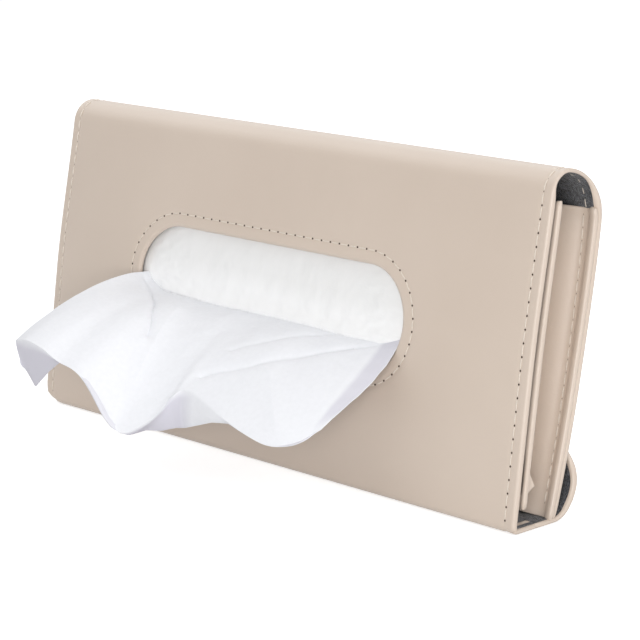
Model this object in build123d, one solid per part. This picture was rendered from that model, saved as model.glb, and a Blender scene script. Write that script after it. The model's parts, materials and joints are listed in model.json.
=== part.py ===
from build123d import *

import os
from math import acos, asin, atan2, cos, degrees, pi, radians, sin, tan

# Car tissue holder: a folded leather cover with gussets round a refill pack.
# The holder frame has X along the holder, Y to the back and Z up the front face,
# with the unrounded front lower corner on the X axis. The last step leans it back
# so that it stands on its bottom panel.

# Overall form, in mm and degrees
width = 235.0
height = 114.0
lean = 8.25
fold_radius = 2.5

# Rounded top and bowed back
crown_front_radius = 8.0
crown_rear_radius = 17.2
back_bow_radius = 480.0
back_start_angle = 2.5

# Sheet thicknesses and the turned hem
leather = 0.9
board_thickness = 0.8
felt = 0.5
soft_felt = 0.7
hem = 1.2
board_inset = 6.5
glue = 0.1
seat = 0.3

# Bottom panel and closing tongue
foot_overhang = 1.03
rear_fold_radius = 9.0
rear_fold_turn = 45.0
belly_radius = 16.0
lap_radius = 8.0
lap_height = 35.0
lap_run = 14.0
tongue_corner = 24.0

# Opening in the front and the turned facing round it
opening_length = 129.0
opening_height = 35.2
opening_rise = 2.8
facing_thickness = 0.6
opening_board_gap = 8.5

# Pillow of the front, and the places of its profiles across the half width
pillow = 3.2
pillow_edge = 0.05
pillow_place_shares = (-1.0, -0.92, -0.78, -0.5, 0.5, 0.78, 0.92, 1.0)

# Gussets at both sides
gusset_thickness = 0.9
gusset_depth = 22.0
gusset_seam = 4.8
gusset_edge_inset = 0.3
gusset_top_gap = 10.5
gusset_bottom = 9.0
gusset_clearance = 0.15
gusset_level_shares = (0.0, 0.3, 0.6, 0.86, 0.94, 1.0)

# Magnets that hold the tongue shut
magnet_radius = 5.0
magnet_spacing = 140.0
magnet_drop = 7.0

# Visor straps on the back
strap_width = 20.0
strap_thickness = 1.6
strap_spacing = 120.0
strap_start = 2.0
tab_length = 8.0
strap_tongue_gap = 2.6
snap_radius = 6.0
snap_dome = 1.3
snap_brim = 0.6
shank_radius = 3.4
stud_radius = 2.0
stud_height = 1.4
stud_clearance = 0.12
stud_flange_radius = 4.5
stud_flange = 0.3

# Refill pack and its wrapper
pack_gusset_gap = 3.5
pack_front = 3.6
pack_bulge = 3.2
pack_back_gap = 0.6
pack_bottom = 6.5
pack_top_gap = 13.0
pack_shoulder = 58.0
pack_corner = 3.5
film = 0.4
stack_clearance = 0.2
slit_length = 121.0
slit_width = 3.0
slit_drop = 5.6

# Tissue that is pulled half out
tissue_thickness = 0.5
tissue_half_width = 58.0
tissue_lip = 6.0
tissue_left_reach = 62.0
tissue_right_reach = 34.0
tissue_right_draw = 6.0
tissue_drop = 40.0
# From the slit to the hem: how far out and down it is, and how far its folds are open
tissue_reach_shares = (0.0, 0.0, 0.08, 0.15, 0.22, 0.3, 0.42, 0.54, 0.65, 0.82, 1.0)
tissue_drop_shares = (0.01, 0.06, 0.14, 0.21, 0.28, 0.36, 0.48, 0.60, 0.72, 0.86, 1.0)
tissue_open_shares = (0.02, 0.08, 0.16, 0.23, 0.30, 0.38, 0.49, 0.60, 0.72, 0.84, 0.96)
# Folds at the hem: where each one starts across the width and down the drop, and how far it hangs
fold_start_shares = ((0.0, 0.52), (0.25, 0.66), (0.53, 0.80), (0.73, 0.72), (1.0, 0.66))
fold_hang_shares = (-0.16, 0.27, -0.19, 0.19)
fold_steps = 6

# Derived sizes
half_width = width / 2
wall = leather + board_thickness + felt
soft_wall = leather + soft_felt
overrun = wall
snap_top = seat + strap_thickness
crown_start = height - crown_front_radius
fold_half_turn = (90.0 + lean) / 2
fold_tangent = fold_radius * tan(radians(fold_half_turn))
fold_bisector = atan2(fold_tangent, fold_radius)
fold_middle = (
    fold_radius - fold_radius * cos(fold_bisector),
    fold_tangent - fold_radius * sin(fold_bisector),
)
front_run = crown_start - fold_tangent
opening_centre = fold_tangent + front_run / 2 + opening_rise
opening_straight = opening_length - opening_height
slit_height = opening_centre - slit_drop
film_face = pack_front - pack_bulge


def step_along(point, heading, radius, turn, hand):
    """The end of a bend: its centre lies inward of the point, or outward for a turn under zero."""
    side = hand if turn > 0 else -hand
    start = radians(heading)
    end = radians(heading - hand * turn)
    centre = (point[0] + side * radius * sin(start), point[1] - side * radius * cos(start))
    return centre[0] - side * radius * sin(end), centre[1] + side * radius * cos(end)


def walk(point, heading, steps, hand):
    """Follow runs (length, None) and bends (radius, turn) and note each piece's places and headings."""
    pieces = []
    for size, turn in steps:
        if turn is None:
            angle = radians(heading)
            end = (point[0] + size * cos(angle), point[1] + size * sin(angle))
            pieces.append(((point, heading), None, (end, heading)))
        else:
            middle = step_along(point, heading, size, turn / 2, hand)
            end = step_along(point, heading, size, turn, hand)
            half_way = (middle, heading - hand * turn / 2)
            pieces.append(((point, heading), half_way, (end, heading - hand * turn)))
            heading = heading - hand * turn
        point = end
    return pieces


def shifted(place, depth, hand):
    """The place moved inward, square to its heading, by the depth."""
    (y, z), heading = place
    angle = radians(heading)
    return Vector(y + depth * hand * sin(angle), z - depth * hand * cos(angle))


def layer(pieces, hand, outer, inner, near, far):
    """A sheet between two depths under the outline, from one X to another."""
    edges = []
    for depth in (outer, inner):
        for start, middle, end in pieces:
            first, last = shifted(start, depth, hand), shifted(end, depth, hand)
            if middle is None:
                edges.append(Line(first, last))
            else:
                edges.append(ThreePointArc(first, shifted(middle, depth, hand), last))
    for place in (pieces[0][0], pieces[-1][2]):
        edges.append(Line(shifted(place, outer, hand), shifted(place, inner, hand)))
    profile = make_face(edges)
    return Pos(near, 0, 0) * extrude(Plane.YZ * profile, far - near)


def sheet(pieces, hand, outer, inner, inset=0.0):
    """A layer over the holder's whole width, less an inset at both sides."""
    return layer(pieces, hand, outer, inner, inset - half_width, half_width - inset)


def leather_and_lining(pieces, hand, thickness, lining_pieces=None):
    """A leather panel with turned side hems, and the felt that fills it between them."""
    lining = sheet(lining_pieces or pieces, hand, leather, thickness, hem)
    return sheet(pieces, hand, 0, thickness) - lining, lining


def opening_prism(grow):
    """The opening's outline grown by a margin, right through the pillowed front."""
    outline = SlotCenterToCenter(opening_straight, opening_height + 2 * grow)
    plane = Plane(origin=(0, wall + overrun, opening_centre), x_dir=(1, 0, 0), z_dir=(0, -1, 0))
    return extrude(plane * outline, wall + pillow + 2 * overrun)


def back_place(distance):
    """The place on the back's outer face at a distance down from where the bow starts."""
    turn = degrees(distance / back_bow_radius)
    middle = step_along(back_top, back_heading, back_bow_radius, turn, 1)
    return middle, back_heading - turn


def back_distance(level):
    """The distance down the back's outer face at which it has come to one height."""
    return back_bow_radius * (radians(back_start_angle) + asin((bow_centre[1] - level) / back_bow_radius))


def back_piece(start, end):
    """A stretch of the back's outer face between two distances down from its top."""
    return [(back_place(start), back_place((start + end) / 2), back_place(end))]


def back_plane(x, distance, depth):
    """A plane on the back at one depth under its outer face, with its normal pointing outward."""
    place = back_place(distance)
    spot = shifted(place, depth, 1)
    angle = radians(place[1])
    return Plane(origin=(x, spot.X, spot.Y), x_dir=(1, 0, 0), z_dir=(0, -sin(angle), cos(angle)))


# Outline of the top and back, clockwise from the front's upper end
top_pieces = walk(
    (0.0, crown_start), 90.0, [(crown_front_radius, 90.0), (crown_rear_radius, 90.0 - back_start_angle)], 1
)
back_top, back_heading = top_pieces[-1][2]
bow_centre = (
    back_top[0] - back_bow_radius * cos(radians(back_start_angle)),
    back_top[1] - back_bow_radius * sin(radians(back_start_angle)),
)
# The back ends one seat above the bottom's lining
foot_reach = (bow_centre[1] - bow_centre[0] * tan(radians(lean))) * cos(radians(lean))
foot_angle = asin((foot_reach - soft_wall - seat) / back_bow_radius) - radians(lean)
back_length = back_bow_radius * (foot_angle + radians(back_start_angle))
foot = shifted(back_place(back_length), 0, 1)


def rear_depth(z, depth):
    """How far back a face lies at one height, at some depth under the top's and back's outer face."""
    if z > back_top[1]:
        radius, centre = crown_rear_radius - depth, (crown_front_radius, height - crown_rear_radius)
    else:
        radius, centre = back_bow_radius - depth, bow_centre
    return centre[0] + radius * cos(asin((z - centre[1]) / radius))


def pillow_section(place_share, outer, inner):
    """The pillow's profile between two depths: two arcs that rise less towards the sides."""
    rise = pillow * (1 - place_share ** 4) + pillow_edge
    low, high = fold_tangent, fold_tangent + front_run
    arcs = [
        ThreePointArc((depth, low), (depth - rise, (low + high) / 2), (depth, high)) for depth in (outer, inner)
    ]
    ends = [Line(arcs[0] @ end, arcs[1] @ end) for end in (0, 1)]
    return Pos(place_share * half_width, 0, 0) * (Plane.YZ * make_face(arcs + ends))


def front_layer(outer, inner, inset=0.0, border=0.0):
    """The pillowed front between two depths, less an inset at both sides and a border above and below."""
    body = loft([pillow_section(share, outer, inner) for share in pillow_place_shares], ruled=True)
    tall = front_run - 2 * border
    return body & Pos(0, 0, fold_tangent + front_run / 2) * Box(width - 2 * inset, width, tall)


# Front: its fold, then leather, board, felt and the facing of its opening
fold_pieces = walk(fold_middle, 90.0 + fold_half_turn, [(fold_radius, fold_half_turn)], 1)
fold_cover, fold_lining = leather_and_lining(fold_pieces, 1, wall)
cover_front = fold_cover + (front_layer(0, wall) - front_layer(leather, wall + overrun, hem))
lining_front = fold_lining + front_layer(leather, wall, hem)
board_depth = leather + board_thickness
board_pocket = front_layer(leather, board_depth, board_inset, board_inset) - opening_prism(opening_board_gap)
board_front = board_pocket & front_layer(leather + glue, board_depth)
opening_facing = (opening_prism(facing_thickness) & front_layer(0, wall)) - opening_prism(0)
opening_cut = opening_prism(facing_thickness)
cover_front -= opening_cut
lining_front -= opening_cut
lining_front -= board_pocket

# Top: leather and felt rolled over the crown
cover_top, lining_top = leather_and_lining(top_pieces, 1, soft_wall)

# Back: leather, board and felt
back_pieces = back_piece(0.0, back_length)
cover_back, lining_back = leather_and_lining(back_pieces, 1, wall, back_piece(0.0, back_length - hem))
board_back = sheet(
    back_piece(board_inset, back_length - board_inset), 1, leather, leather + board_thickness, board_inset
)
lining_back -= board_back

# Bottom: leather and felt from the front fold to the middle of the rear fold
bottom_run = foot.X * cos(radians(lean)) + foot.Y * sin(radians(lean)) - foot_overhang - fold_tangent
base_middle = fold_tangent + bottom_run / 2
bottom_pieces = walk(
    fold_middle,
    lean - fold_half_turn,
    [(fold_radius, fold_half_turn), (bottom_run, None), (rear_fold_radius, rear_fold_turn / 2)],
    -1,
)
cover_bottom, lining_bottom = leather_and_lining(bottom_pieces, -1, soft_wall)

# Tongue: up from the rear fold, round its belly and in against the back
lap_spot, lap_down = back_place(back_distance(lap_height))
lap_heading = lap_down + 180.0
tongue_start, start_heading = bottom_pieces[-1][2]
belly_start = step_along(tongue_start, start_heading, rear_fold_radius, rear_fold_turn / 2, -1)
belly_heading = start_heading + rear_fold_turn / 2
belly_peak = step_along(belly_start, belly_heading, belly_radius, lap_heading - belly_heading, -1)
lap_normal = (sin(radians(lap_heading)), -cos(radians(lap_heading)))
belly_stand = (belly_peak[0] - lap_spot[0]) * lap_normal[0] + (belly_peak[1] - lap_spot[1]) * lap_normal[1]
belly_drop = belly_stand - seat - wall
lap_turn = degrees(acos(1 - belly_drop / (belly_radius + lap_radius)))
tongue_pieces = walk(
    tongue_start,
    start_heading,
    [
        (rear_fold_radius, rear_fold_turn / 2),
        (belly_radius, lap_heading - belly_heading + lap_turn),
        (lap_radius, -lap_turn),
        (lap_run, None),
    ],
    -1,
)
tongue_tip = tongue_pieces[-1][2][0][1]


def tongue_outline(inset):
    """A prism through the tongue that rounds its upper corners, less an inset all round."""
    tall = tongue_tip - inset
    block = Pos(0, 0, tall / 2) * Box(width - 2 * inset, width, tall)
    corners = block.edges().filter_by(Axis.Y).group_by(Axis.Z)[-1]
    return fillet(corners, tongue_corner - inset)


lining_tongue = sheet(tongue_pieces, -1, leather, wall, hem) & tongue_outline(hem)
cover_tongue = (sheet(tongue_pieces, -1, 0, wall) & tongue_outline(0)) - lining_tongue


def magnet_bars(depth, length):
    """A bar outward through the back at each magnet's place, from one depth under its outer face."""
    distance = back_distance(tongue_tip - magnet_drop)
    places = (-magnet_spacing / 2, magnet_spacing / 2)
    return Compound([extrude(back_plane(x, distance, depth) * Circle(magnet_radius), length) for x in places])


# Magnets: one pair in the back's board, and one in the tongue that faces it
back_magnets = board_back & magnet_bars(wall, wall)
board_back -= magnet_bars(wall, wall)
tongue_magnets = lining_tongue & magnet_bars(0, wall + overrun)
tongue_magnets &= sheet(tongue_pieces, -1, leather, leather + board_thickness, hem)
lining_tongue -= tongue_magnets


def gusset_section(z):
    """The V of a gusset at one height, sewn flat along the front and the back."""
    near = wall + gusset_clearance
    rear = rear_depth(z, wall + gusset_clearance)
    edge = half_width - gusset_edge_inset
    seam = half_width - gusset_seam
    tip = half_width - gusset_depth
    middle = (near + rear) / 2
    slope = atan2(rear - middle, seam - tip)
    corner = gusset_thickness * tan(slope / 2)
    points = [
        (edge, near),
        (seam, near),
        (tip, middle),
        (seam, rear),
        (edge, rear),
        (edge, rear - gusset_thickness),
        (seam + corner, rear - gusset_thickness),
        (tip + gusset_thickness / sin(slope), middle),
        (seam + corner, near + gusset_thickness),
        (edge, near + gusset_thickness),
    ]
    return make_face([Polyline([(x, y, z) for x, y in points], close=True)])


# Gussets: one V along each side, with the same sections mirrored
gusset_rise = height - gusset_top_gap - gusset_bottom
gusset_levels = [gusset_bottom + share * gusset_rise for share in gusset_level_shares]
gusset_right = loft([gusset_section(z) for z in gusset_levels], ruled=True)
gusset_left = mirror(gusset_right, Plane.YZ)


def strap_outline(x):
    """A prism through one strap that rounds its lower end to a half circle."""
    end_place = shifted(back_place(snap_distance), 0, 1)
    long = height - end_place.Y
    bar = Pos(x, end_place.X, end_place.Y + long / 2) * Box(strap_width, strap_width, long)
    disc = Pos(x, end_place.X, end_place.Y) * Rot(90, 0, 0) * Cylinder(strap_width / 2, strap_width)
    return bar + disc


def snap_ring(x, radius, low, high):
    """A round bar square to the back at the snap's place, between two heights off its outer face."""
    plane = back_plane(x, snap_distance, -low)
    return extrude(plane * Circle(radius), high - low)


def strap(x):
    """One visor strap, from its sewn tab down to its rounded end, with the hole of its snap."""
    start = strap_start + tab_length
    band = layer(
        back_piece(start, strap_end), 1, -seat, -seat - strap_thickness,
        x - strap_width / 2, x + strap_width / 2,
    )
    return (band & strap_outline(x)) - snap_ring(x, shank_radius, 0, snap_top)


def snap_cap(x):
    """The snap's cap: a bevelled head on the strap and a shank through it with a blind socket."""
    head = snap_ring(x, snap_radius, snap_top, snap_top + snap_dome)
    rim = head.edges().filter_by(GeomType.CIRCLE).sort_by(Axis.Y)[-1]
    head = chamfer(rim, snap_dome - snap_brim)
    shank = snap_ring(x, shank_radius, seat, snap_top)
    socket = snap_ring(x, stud_radius + stud_clearance, 0, stud_height + stud_clearance)
    return head + shank - socket


def strap_tab(x):
    """The strap's upper end, sewn flat to the back."""
    return layer(
        back_piece(strap_start, strap_start + tab_length), 1, 0, -seat - strap_thickness,
        x - strap_width / 2, x + strap_width / 2,
    )


def snap_stud(x):
    """The snap's stud on a flange let into the back's leather."""
    return snap_ring(x, stud_flange_radius, -stud_flange, 0) + snap_ring(x, stud_radius, 0, stud_height)


# Straps, snap caps, studs and tabs
strap_end = back_distance(tongue_tip + strap_tongue_gap)
snap_distance = strap_end - strap_width / 2
strap_places = (-strap_spacing / 2, strap_spacing / 2)
strap_left, strap_right = [strap(x) for x in strap_places]
snap_cap_left, snap_cap_right = [snap_cap(x) for x in strap_places]
strap_tabs = Compound([strap_tab(x) for x in strap_places])
snap_studs = Compound([snap_stud(x) for x in strap_places])
cover_back -= Compound([snap_ring(x, stud_flange_radius, -stud_flange, seat) for x in strap_places])


def pack_block(inset):
    """The refill pack's body, thinner at its foot and bulged in front, less an inset all round."""
    low, top = pack_bottom + inset, height - pack_top_gap - inset
    front = pack_front + inset
    foot = rear_depth(pack_bottom, wall + pack_back_gap) - inset
    full = rear_depth(pack_shoulder, wall + pack_back_gap) - inset
    rear_line = Polyline([(front, low), (foot, low), (full, pack_shoulder), (full, top), (front, top)])
    front_arc = ThreePointArc((front, top), (front - pack_bulge, (low + top) / 2), (front, low))
    outline = make_face([rear_line, front_arc])
    outline = fillet(outline.vertices(), pack_corner - inset)
    length = width - 2 * (gusset_depth + pack_gusset_gap + inset)
    return Pos(-length / 2, 0, 0) * extrude(Plane.YZ * outline, length)


# Refill: the wrapper with its slit, and the folded stack
slit = Pos(0, film_face, slit_height) * Box(slit_length, 4 * film, slit_width)
pack_film = pack_block(0.0) - pack_block(film) - slit
tissue_stack = pack_block(film + stack_clearance)


def tissue_line(reach_share, start_depth):
    """The left and right end of the tissue's section at one share of its reach, seen from above."""
    left_run, right_run = tissue_left_reach - tissue_lip, tissue_right_reach - tissue_lip
    left = Vector(-tissue_half_width, start_depth - reach_share * left_run)
    right = Vector(tissue_half_width - reach_share * tissue_right_draw, start_depth - reach_share * right_run)
    return left, right - left


def tissue_section(reach_share, drop_share, open_share, start_depth):
    """One upright section across the tissue: half a sine wave for each fold, with flats between them.

    Each wave is a smaller copy of the one at the hem, so every fold opens outward as a cone.
    """
    left, span = tissue_line(reach_share, start_depth)
    hem_span = tissue_line(1.0, -tissue_lip)[1].length
    plane = Plane(origin=(left.X, left.Y, 0), x_dir=(span.X, span.Y, 0), z_dir=(span.Y, -span.X, 0))
    flat = (span.length - open_share * hem_span) / len(fold_hang_shares)
    across, down = open_share * hem_span, open_share * tissue_drop
    corner = Vector(0, slit_height - drop_share * fold_start_shares[0][1] * tissue_drop)
    points = [corner]
    for start, end, hang in zip(fold_start_shares[:-1], fold_start_shares[1:], fold_hang_shares):
        corner += Vector(flat, 0)
        for share in [step / fold_steps for step in range(fold_steps + 1)]:
            drop = share * (end[1] - start[1]) + sin(pi * share) * hang
            points.append(corner + Vector(share * (end[0] - start[0]) * across, -drop * down))
        corner = points[-1]
    under = [point - Vector(0, tissue_thickness) for point in reversed(points)]
    return Pos(0, 0, tissue_thickness / 2) * plane * make_face(Polyline(points + under, close=True))


# Tissue: straight out of the slit, then falling in folds to its hem
tissue_root = film_face + film + stack_clearance - seat
tissue_depths = [tissue_root] + [-tissue_lip] * (len(tissue_reach_shares) - 1)
tissue_places = zip(tissue_reach_shares, tissue_drop_shares, tissue_open_shares, tissue_depths)
tissue = loft([tissue_section(*place) for place in tissue_places], ruled=True)

# Stand the holder on its bottom panel, with the middle of that panel at the origin
stand = Pos(0, -base_middle, 0) * Rot(-lean, 0, 0)
nodes = {
    "cover_front": cover_front,
    "board_front": board_front,
    "lining_front": lining_front,
    "opening_facing": opening_facing,
    "cover_top": cover_top,
    "lining_top": lining_top,
    "cover_back": cover_back,
    "board_back": board_back,
    "lining_back": lining_back,
    "back_magnets": back_magnets,
    "cover_bottom": cover_bottom,
    "lining_bottom": lining_bottom,
    "cover_tongue": cover_tongue,
    "lining_tongue": lining_tongue,
    "tongue_magnets": tongue_magnets,
    "gusset_left": gusset_left,
    "gusset_right": gusset_right,
    "strap_left": strap_left,
    "strap_right": strap_right,
    "strap_tabs": strap_tabs,
    "snap_cap_left": snap_cap_left,
    "snap_cap_right": snap_cap_right,
    "snap_studs": snap_studs,
    "pack_film": pack_film,
    "tissue_stack": tissue_stack,
    "tissue": tissue,
}
os.makedirs("parts", exist_ok=True)
for name, solid in nodes.items():
    export_step(stand * solid, f"parts/{name}.step")
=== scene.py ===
"""Car tissue holder in folded leather: the visible surfaces, materials and stage."""

import json
import math

import bpy
import numpy as np
from bpy.props import FloatProperty, FloatVectorProperty, IntProperty, PointerProperty
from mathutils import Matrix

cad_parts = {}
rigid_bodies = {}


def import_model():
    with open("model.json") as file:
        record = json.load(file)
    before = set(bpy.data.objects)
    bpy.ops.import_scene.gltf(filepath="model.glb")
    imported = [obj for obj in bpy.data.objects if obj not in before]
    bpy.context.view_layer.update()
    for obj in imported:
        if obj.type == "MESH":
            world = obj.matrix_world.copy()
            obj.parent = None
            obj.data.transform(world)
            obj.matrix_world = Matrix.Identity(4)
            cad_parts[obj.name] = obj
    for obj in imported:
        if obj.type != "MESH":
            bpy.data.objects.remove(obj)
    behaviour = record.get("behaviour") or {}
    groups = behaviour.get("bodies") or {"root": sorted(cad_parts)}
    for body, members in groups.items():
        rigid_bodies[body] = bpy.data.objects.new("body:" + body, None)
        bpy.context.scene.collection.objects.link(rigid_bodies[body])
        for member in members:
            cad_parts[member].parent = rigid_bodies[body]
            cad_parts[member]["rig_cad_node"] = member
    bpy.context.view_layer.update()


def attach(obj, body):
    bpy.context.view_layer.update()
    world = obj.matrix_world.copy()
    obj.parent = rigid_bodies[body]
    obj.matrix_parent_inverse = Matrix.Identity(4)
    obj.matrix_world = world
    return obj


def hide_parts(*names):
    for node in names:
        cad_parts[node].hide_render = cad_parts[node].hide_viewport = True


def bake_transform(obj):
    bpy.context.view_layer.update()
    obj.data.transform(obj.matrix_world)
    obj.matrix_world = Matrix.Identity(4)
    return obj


bl_info = {
    "name": "Car tissue holder",
    "version": (1, 0, 0),
    "blender": (4, 5, 0),
    "location": "3D View > Sidebar > Tissue Holder",
    "description": "Builds a leather tissue holder with its refill, tissue, seams and stage",
    "category": "Object",
}

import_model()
# What keeps a division off zero
TINY = 1e-12


def length(name, description, default):
    """A length property in metres."""
    return FloatProperty(name=name, description=description, default=default, unit="LENGTH", precision=5)


def angle(name, description, degrees):
    """An angle property, given in degrees."""
    return FloatProperty(name=name, description=description, default=math.radians(degrees), unit="ROTATION")


def colour(name, description, default):
    """A linear colour property."""
    return FloatVectorProperty(name=name, description=description, default=default, size=3, subtype="COLOR")


def factor(name, description, default):
    """A plain number property."""
    return FloatProperty(name=name, description=description, default=default, precision=4)


class HolderCover(bpy.types.PropertyGroup):
    """The outline and the sheets of the folded cover."""

    width: length("Width", "Length of the holder from side to side", 0.235)
    height: length("Height", "Front's height over its lower fold", 0.114)
    lean: angle("Lean", "How far the front leans back", 8.25)
    fold: length("Fold radius", "Radius of the sharp lower fold", 0.0025)
    crown_front: length("Crown front radius", "Radius from the front into the crown", 0.008)
    crown_rear: length("Crown rear radius", "Radius from the crown into the back", 0.0172)
    bow: length("Back bow radius", "Radius of the bowed back", 0.48)
    bow_start: angle("Bow start", "Turn left over where the bow begins", 2.5)
    back_run: length("Back run", "Length of the back's outer face", 0.09297)
    bottom_run: length("Bottom run", "Flat length of the bottom panel", 0.016815)
    rear_fold: length("Rear fold radius", "Radius under the tongue", 0.009)
    rear_turn: angle("Rear fold turn", "Turn of the fold under the tongue", 45.0)
    belly: length("Belly radius", "Radius of the tongue's belly", 0.016)
    belly_turn: angle("Belly turn", "Turn of the tongue's belly", 65.1715)
    lap: length("Lap radius", "Radius back into the lap", 0.008)
    lap_turn: angle("Lap turn", "Turn back into the lap", 33.3949)
    lap_run: length("Lap run", "Length of the tongue's flat lap", 0.014)
    tongue_corner: length("Tongue corner", "Radius of the tongue's corners", 0.030)
    wall: length("Wall", "Thickness of a panel with its board", 0.0022)
    soft_wall: length("Soft wall", "Thickness of a panel without board", 0.0016)
    belly_wall: length("Belly wall", "Thickness of the tongue's belly", 0.0022)
    hem: length("Hem", "Width of the turned hem beside the felt", 0.0012)
    felt_proud: length("Felt rise", "How far the felt stands over the hem", 0.0001)
    felt_sheet: length("Felt", "Thickness of the felt skin", 0.0004)
    pillow: length("Pillow", "How far the front bulges", 0.0034)
    skew: length("Skew", "How far the soft top is shifted to the right", 0.0014)
    skew_start: length("Skew start", "Height where that shift begins", 0.050)
    draw_in: length("Draw in", "How far the left side is drawn in at the top", 0.0018)
    stretch: length("Stretch", "How far the opening's left end is pulled outward", 0.0016)
    crown_wall: length("Crown wall", "Thickness of the cover in the crown", 0.0013)
    rear_rim: length("Rear rim", "How much thicker the cover is behind the crown", 0.0008)
    soft_corner: length("Soft corner", "Radius of the front's soft lower left corner", 0.0085)


class HolderOpening(bpy.types.PropertyGroup):
    """The stadium opening, its seam and the refill's film behind it."""

    straight: length("Straight", "Length of the straight sides", 0.0938)
    radius: length("Radius", "Radius of the ends", 0.0176)
    centre: length("Centre", "Height of the centre up the front", 0.05724)
    seam: length("Seam", "Distance from the hole to the seam", 0.0046)
    window: length("Window", "Distance from the core to the grid's window", 0.030)


class HolderRefill(bpy.types.PropertyGroup):
    """The refill pack's film and its slit."""

    front: length("Front", "Depth of the pack's front edges behind the flat front", 0.0036)
    bulge: length("Bulge", "How far the pack's front bulges", 0.0032)
    puff: length("Puff", "How much further the film bulges into the opening", 0.0019)
    length: length("Length", "Length of the pack", 0.184)
    fin: length("Fin", "Length of the crimped fins at its ends", 0.0018)
    bottom: length("Bottom", "Height of the pack's bottom", 0.0065)
    top_gap: length("Top gap", "Distance from the holder's top", 0.013)
    shoulder: length("Shoulder", "Height where the back of the pack turns upright", 0.058)
    back_gap: length("Back gap", "Gap to the back panel", 0.0006)
    corner: length("Corner", "How far the corners are rounded", 0.003)
    film: length("Film", "Thickness of the film", 0.00015)
    lip: length("Lip", "How far the film stands out at the slit", 0.0011)


class HolderSeams(bpy.types.PropertyGroup):
    """Thread, stitch pitch and the seams' places."""

    pitch: length("Pitch", "Distance between needle holes", 0.00423)
    thread: length("Thread", "Thread radius", 0.00021)
    hole: length("Hole", "Needle hole radius", 0.00036)
    inset: length("Inset", "Distance from the side edges to their seams", 0.0040)
    groove: length("Groove", "Depth of the groove under a seam", 0.00022)
    groove_width: length("Groove width", "Half width of that groove", 0.0009)


class HolderGusset(bpy.types.PropertyGroup):
    """The V-folded side gussets."""

    thickness: length("Thickness", "Leather of the gusset", 0.0009)
    depth: length("Depth", "How far the V reaches in", 0.022)
    seam: length("Seam", "Width of the sewn edge", 0.0048)
    rolled: length("Rolled edge", "How much thicker the turned edges are", 0.0010)
    rolled_width: length("Rolled width", "Width of the turned edges", 0.0026)
    inset: length("Inset", "Distance from the cover's side edge", 0.0003)
    top_gap: length("Top gap", "Distance from the top", 0.0125)
    bottom: length("Bottom", "Height of the front wing's lower edge", 0.009)
    rear_drop: length("Rear drop", "How much lower the rear wing's lower edge is", 0.0045)
    ear: factor("Ear", "How far the crumpled ear at the bottom is pulled out, of the way there is", 0.84)
    ear_height: length("Ear height", "Height over which the ear fades out", 0.018)
    ear_push: length("Ear push", "How far the ear's tip is pushed back", 0.0058)
    ear_lift: length("Ear lift", "How far the ear's tip is lifted", 0.0066)
    ear_place: factor("Ear place", "Where the ear's tip is across the gusset", 0.115)
    ear_half: factor("Ear half", "Half the ear's width across the gusset", 0.112)
    front_gap: length("Front gap", "Further gap before the front wing", 0.0009)
    front_rise: length("Front rise", "How much higher the front wing's top corner is", 0.0018)
    clearance: length("Clearance", "Gap to the panels", 0.00015)


class HolderStraps(bpy.types.PropertyGroup):
    """The visor straps on the back."""

    width: length("Width", "Width of a strap", 0.020)
    thickness: length("Thickness", "Thickness of a strap", 0.0016)
    spacing: length("Spacing", "Distance between the straps", 0.120)
    start: length("Start", "Distance from the back's top to the tab", 0.002)
    tab: length("Tab", "Length of the sewn tab", 0.008)
    end: length("End", "Distance from the back's top to the free end", 0.052994)
    seat: length("Seat", "Gap to the back", 0.0003)


class HolderTissue(bpy.types.PropertyGroup):
    """The tissue that is pulled half out."""

    thickness: length("Thickness", "Thickness of the tissue", 0.00025)
    crinkle: length("Crinkle", "Height of the fine creases", 0.00035)
    cut: length("Cut", "Width that the tissue was cut to", 0.150)
    side_fold: length("Side fold", "How far the right edge is turned down", 0.0022)
    across: IntProperty(name="Across", description="Faces across the tissue", default=240)
    along: IntProperty(name="Along", description="Faces from the slit to the rim", default=80)
    under: IntProperty(name="Under", description="Faces from the rim down", default=14)


class HolderStage(bpy.types.PropertyGroup):
    """Camera, lights and floor."""

    eye: FloatVectorProperty(name="Eye", description="Camera place", default=(0.59533, -0.54835, 0.23098))
    turn: FloatVectorProperty(
        name="Turn", description="Camera angles", subtype="EULER",
        default=(math.radians(77.2404), math.radians(0.4023), math.radians(46.2529)),
    )
    lens: factor("Lens", "Focal length in mm", 137.3814)
    sky: factor("Sky", "Strength of the even light", 0.46)
    top: factor("Top", "Power of the light over the crown in W", 4.0)
    side: factor("Side", "Power of the side light in W", 2.8)
    front: factor("Front", "Power of the front light in W", 9.0)
    glow: factor("Glow", "How much brighter the camera sees the floor", 0.70)


class HolderLooks(bpy.types.PropertyGroup):
    """Colours of the materials."""

    leather: colour("Leather", "Beige leather", (0.665, 0.56, 0.472))
    leather_dark: colour("Leather shade", "Leather in its pores", (0.622, 0.518, 0.433))
    thread: colour("Thread", "Cream thread", (0.82, 0.74, 0.65))
    # Painted shade: the dark colour of the small plugs that stand for the shade in the needle holes
    hole: colour("Needle hole", "Shade in the needle holes", (0.085, 0.06, 0.045))
    felt: colour("Felt", "Black felt", (0.012, 0.013, 0.016))
    lint: colour("Lint", "Lint on the felt", (0.16, 0.17, 0.20))
    tissue: colour("Tissue", "Tissue paper", (0.88, 0.89, 0.925))
    # Painted shade: the tissue's colour where its shade is painted on, under the rim, on the turned right
    # edge and on the inner face
    tissue_painted_shade: colour("Tissue underside", "Tissue in its own shade", (0.68, 0.67, 0.74))
    film: colour("Film", "Film over white tissues", (0.95, 0.95, 0.95))
    # Painted shade: the greyer band across the film's middle heights, which leaves the lower band bright as
    # a painted glare
    film_painted_shade: colour("Film shade", "Film where it lies hollow", (0.88, 0.88, 0.875))
    metal: colour("Metal", "Snap metal", (0.55, 0.54, 0.52))


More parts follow.
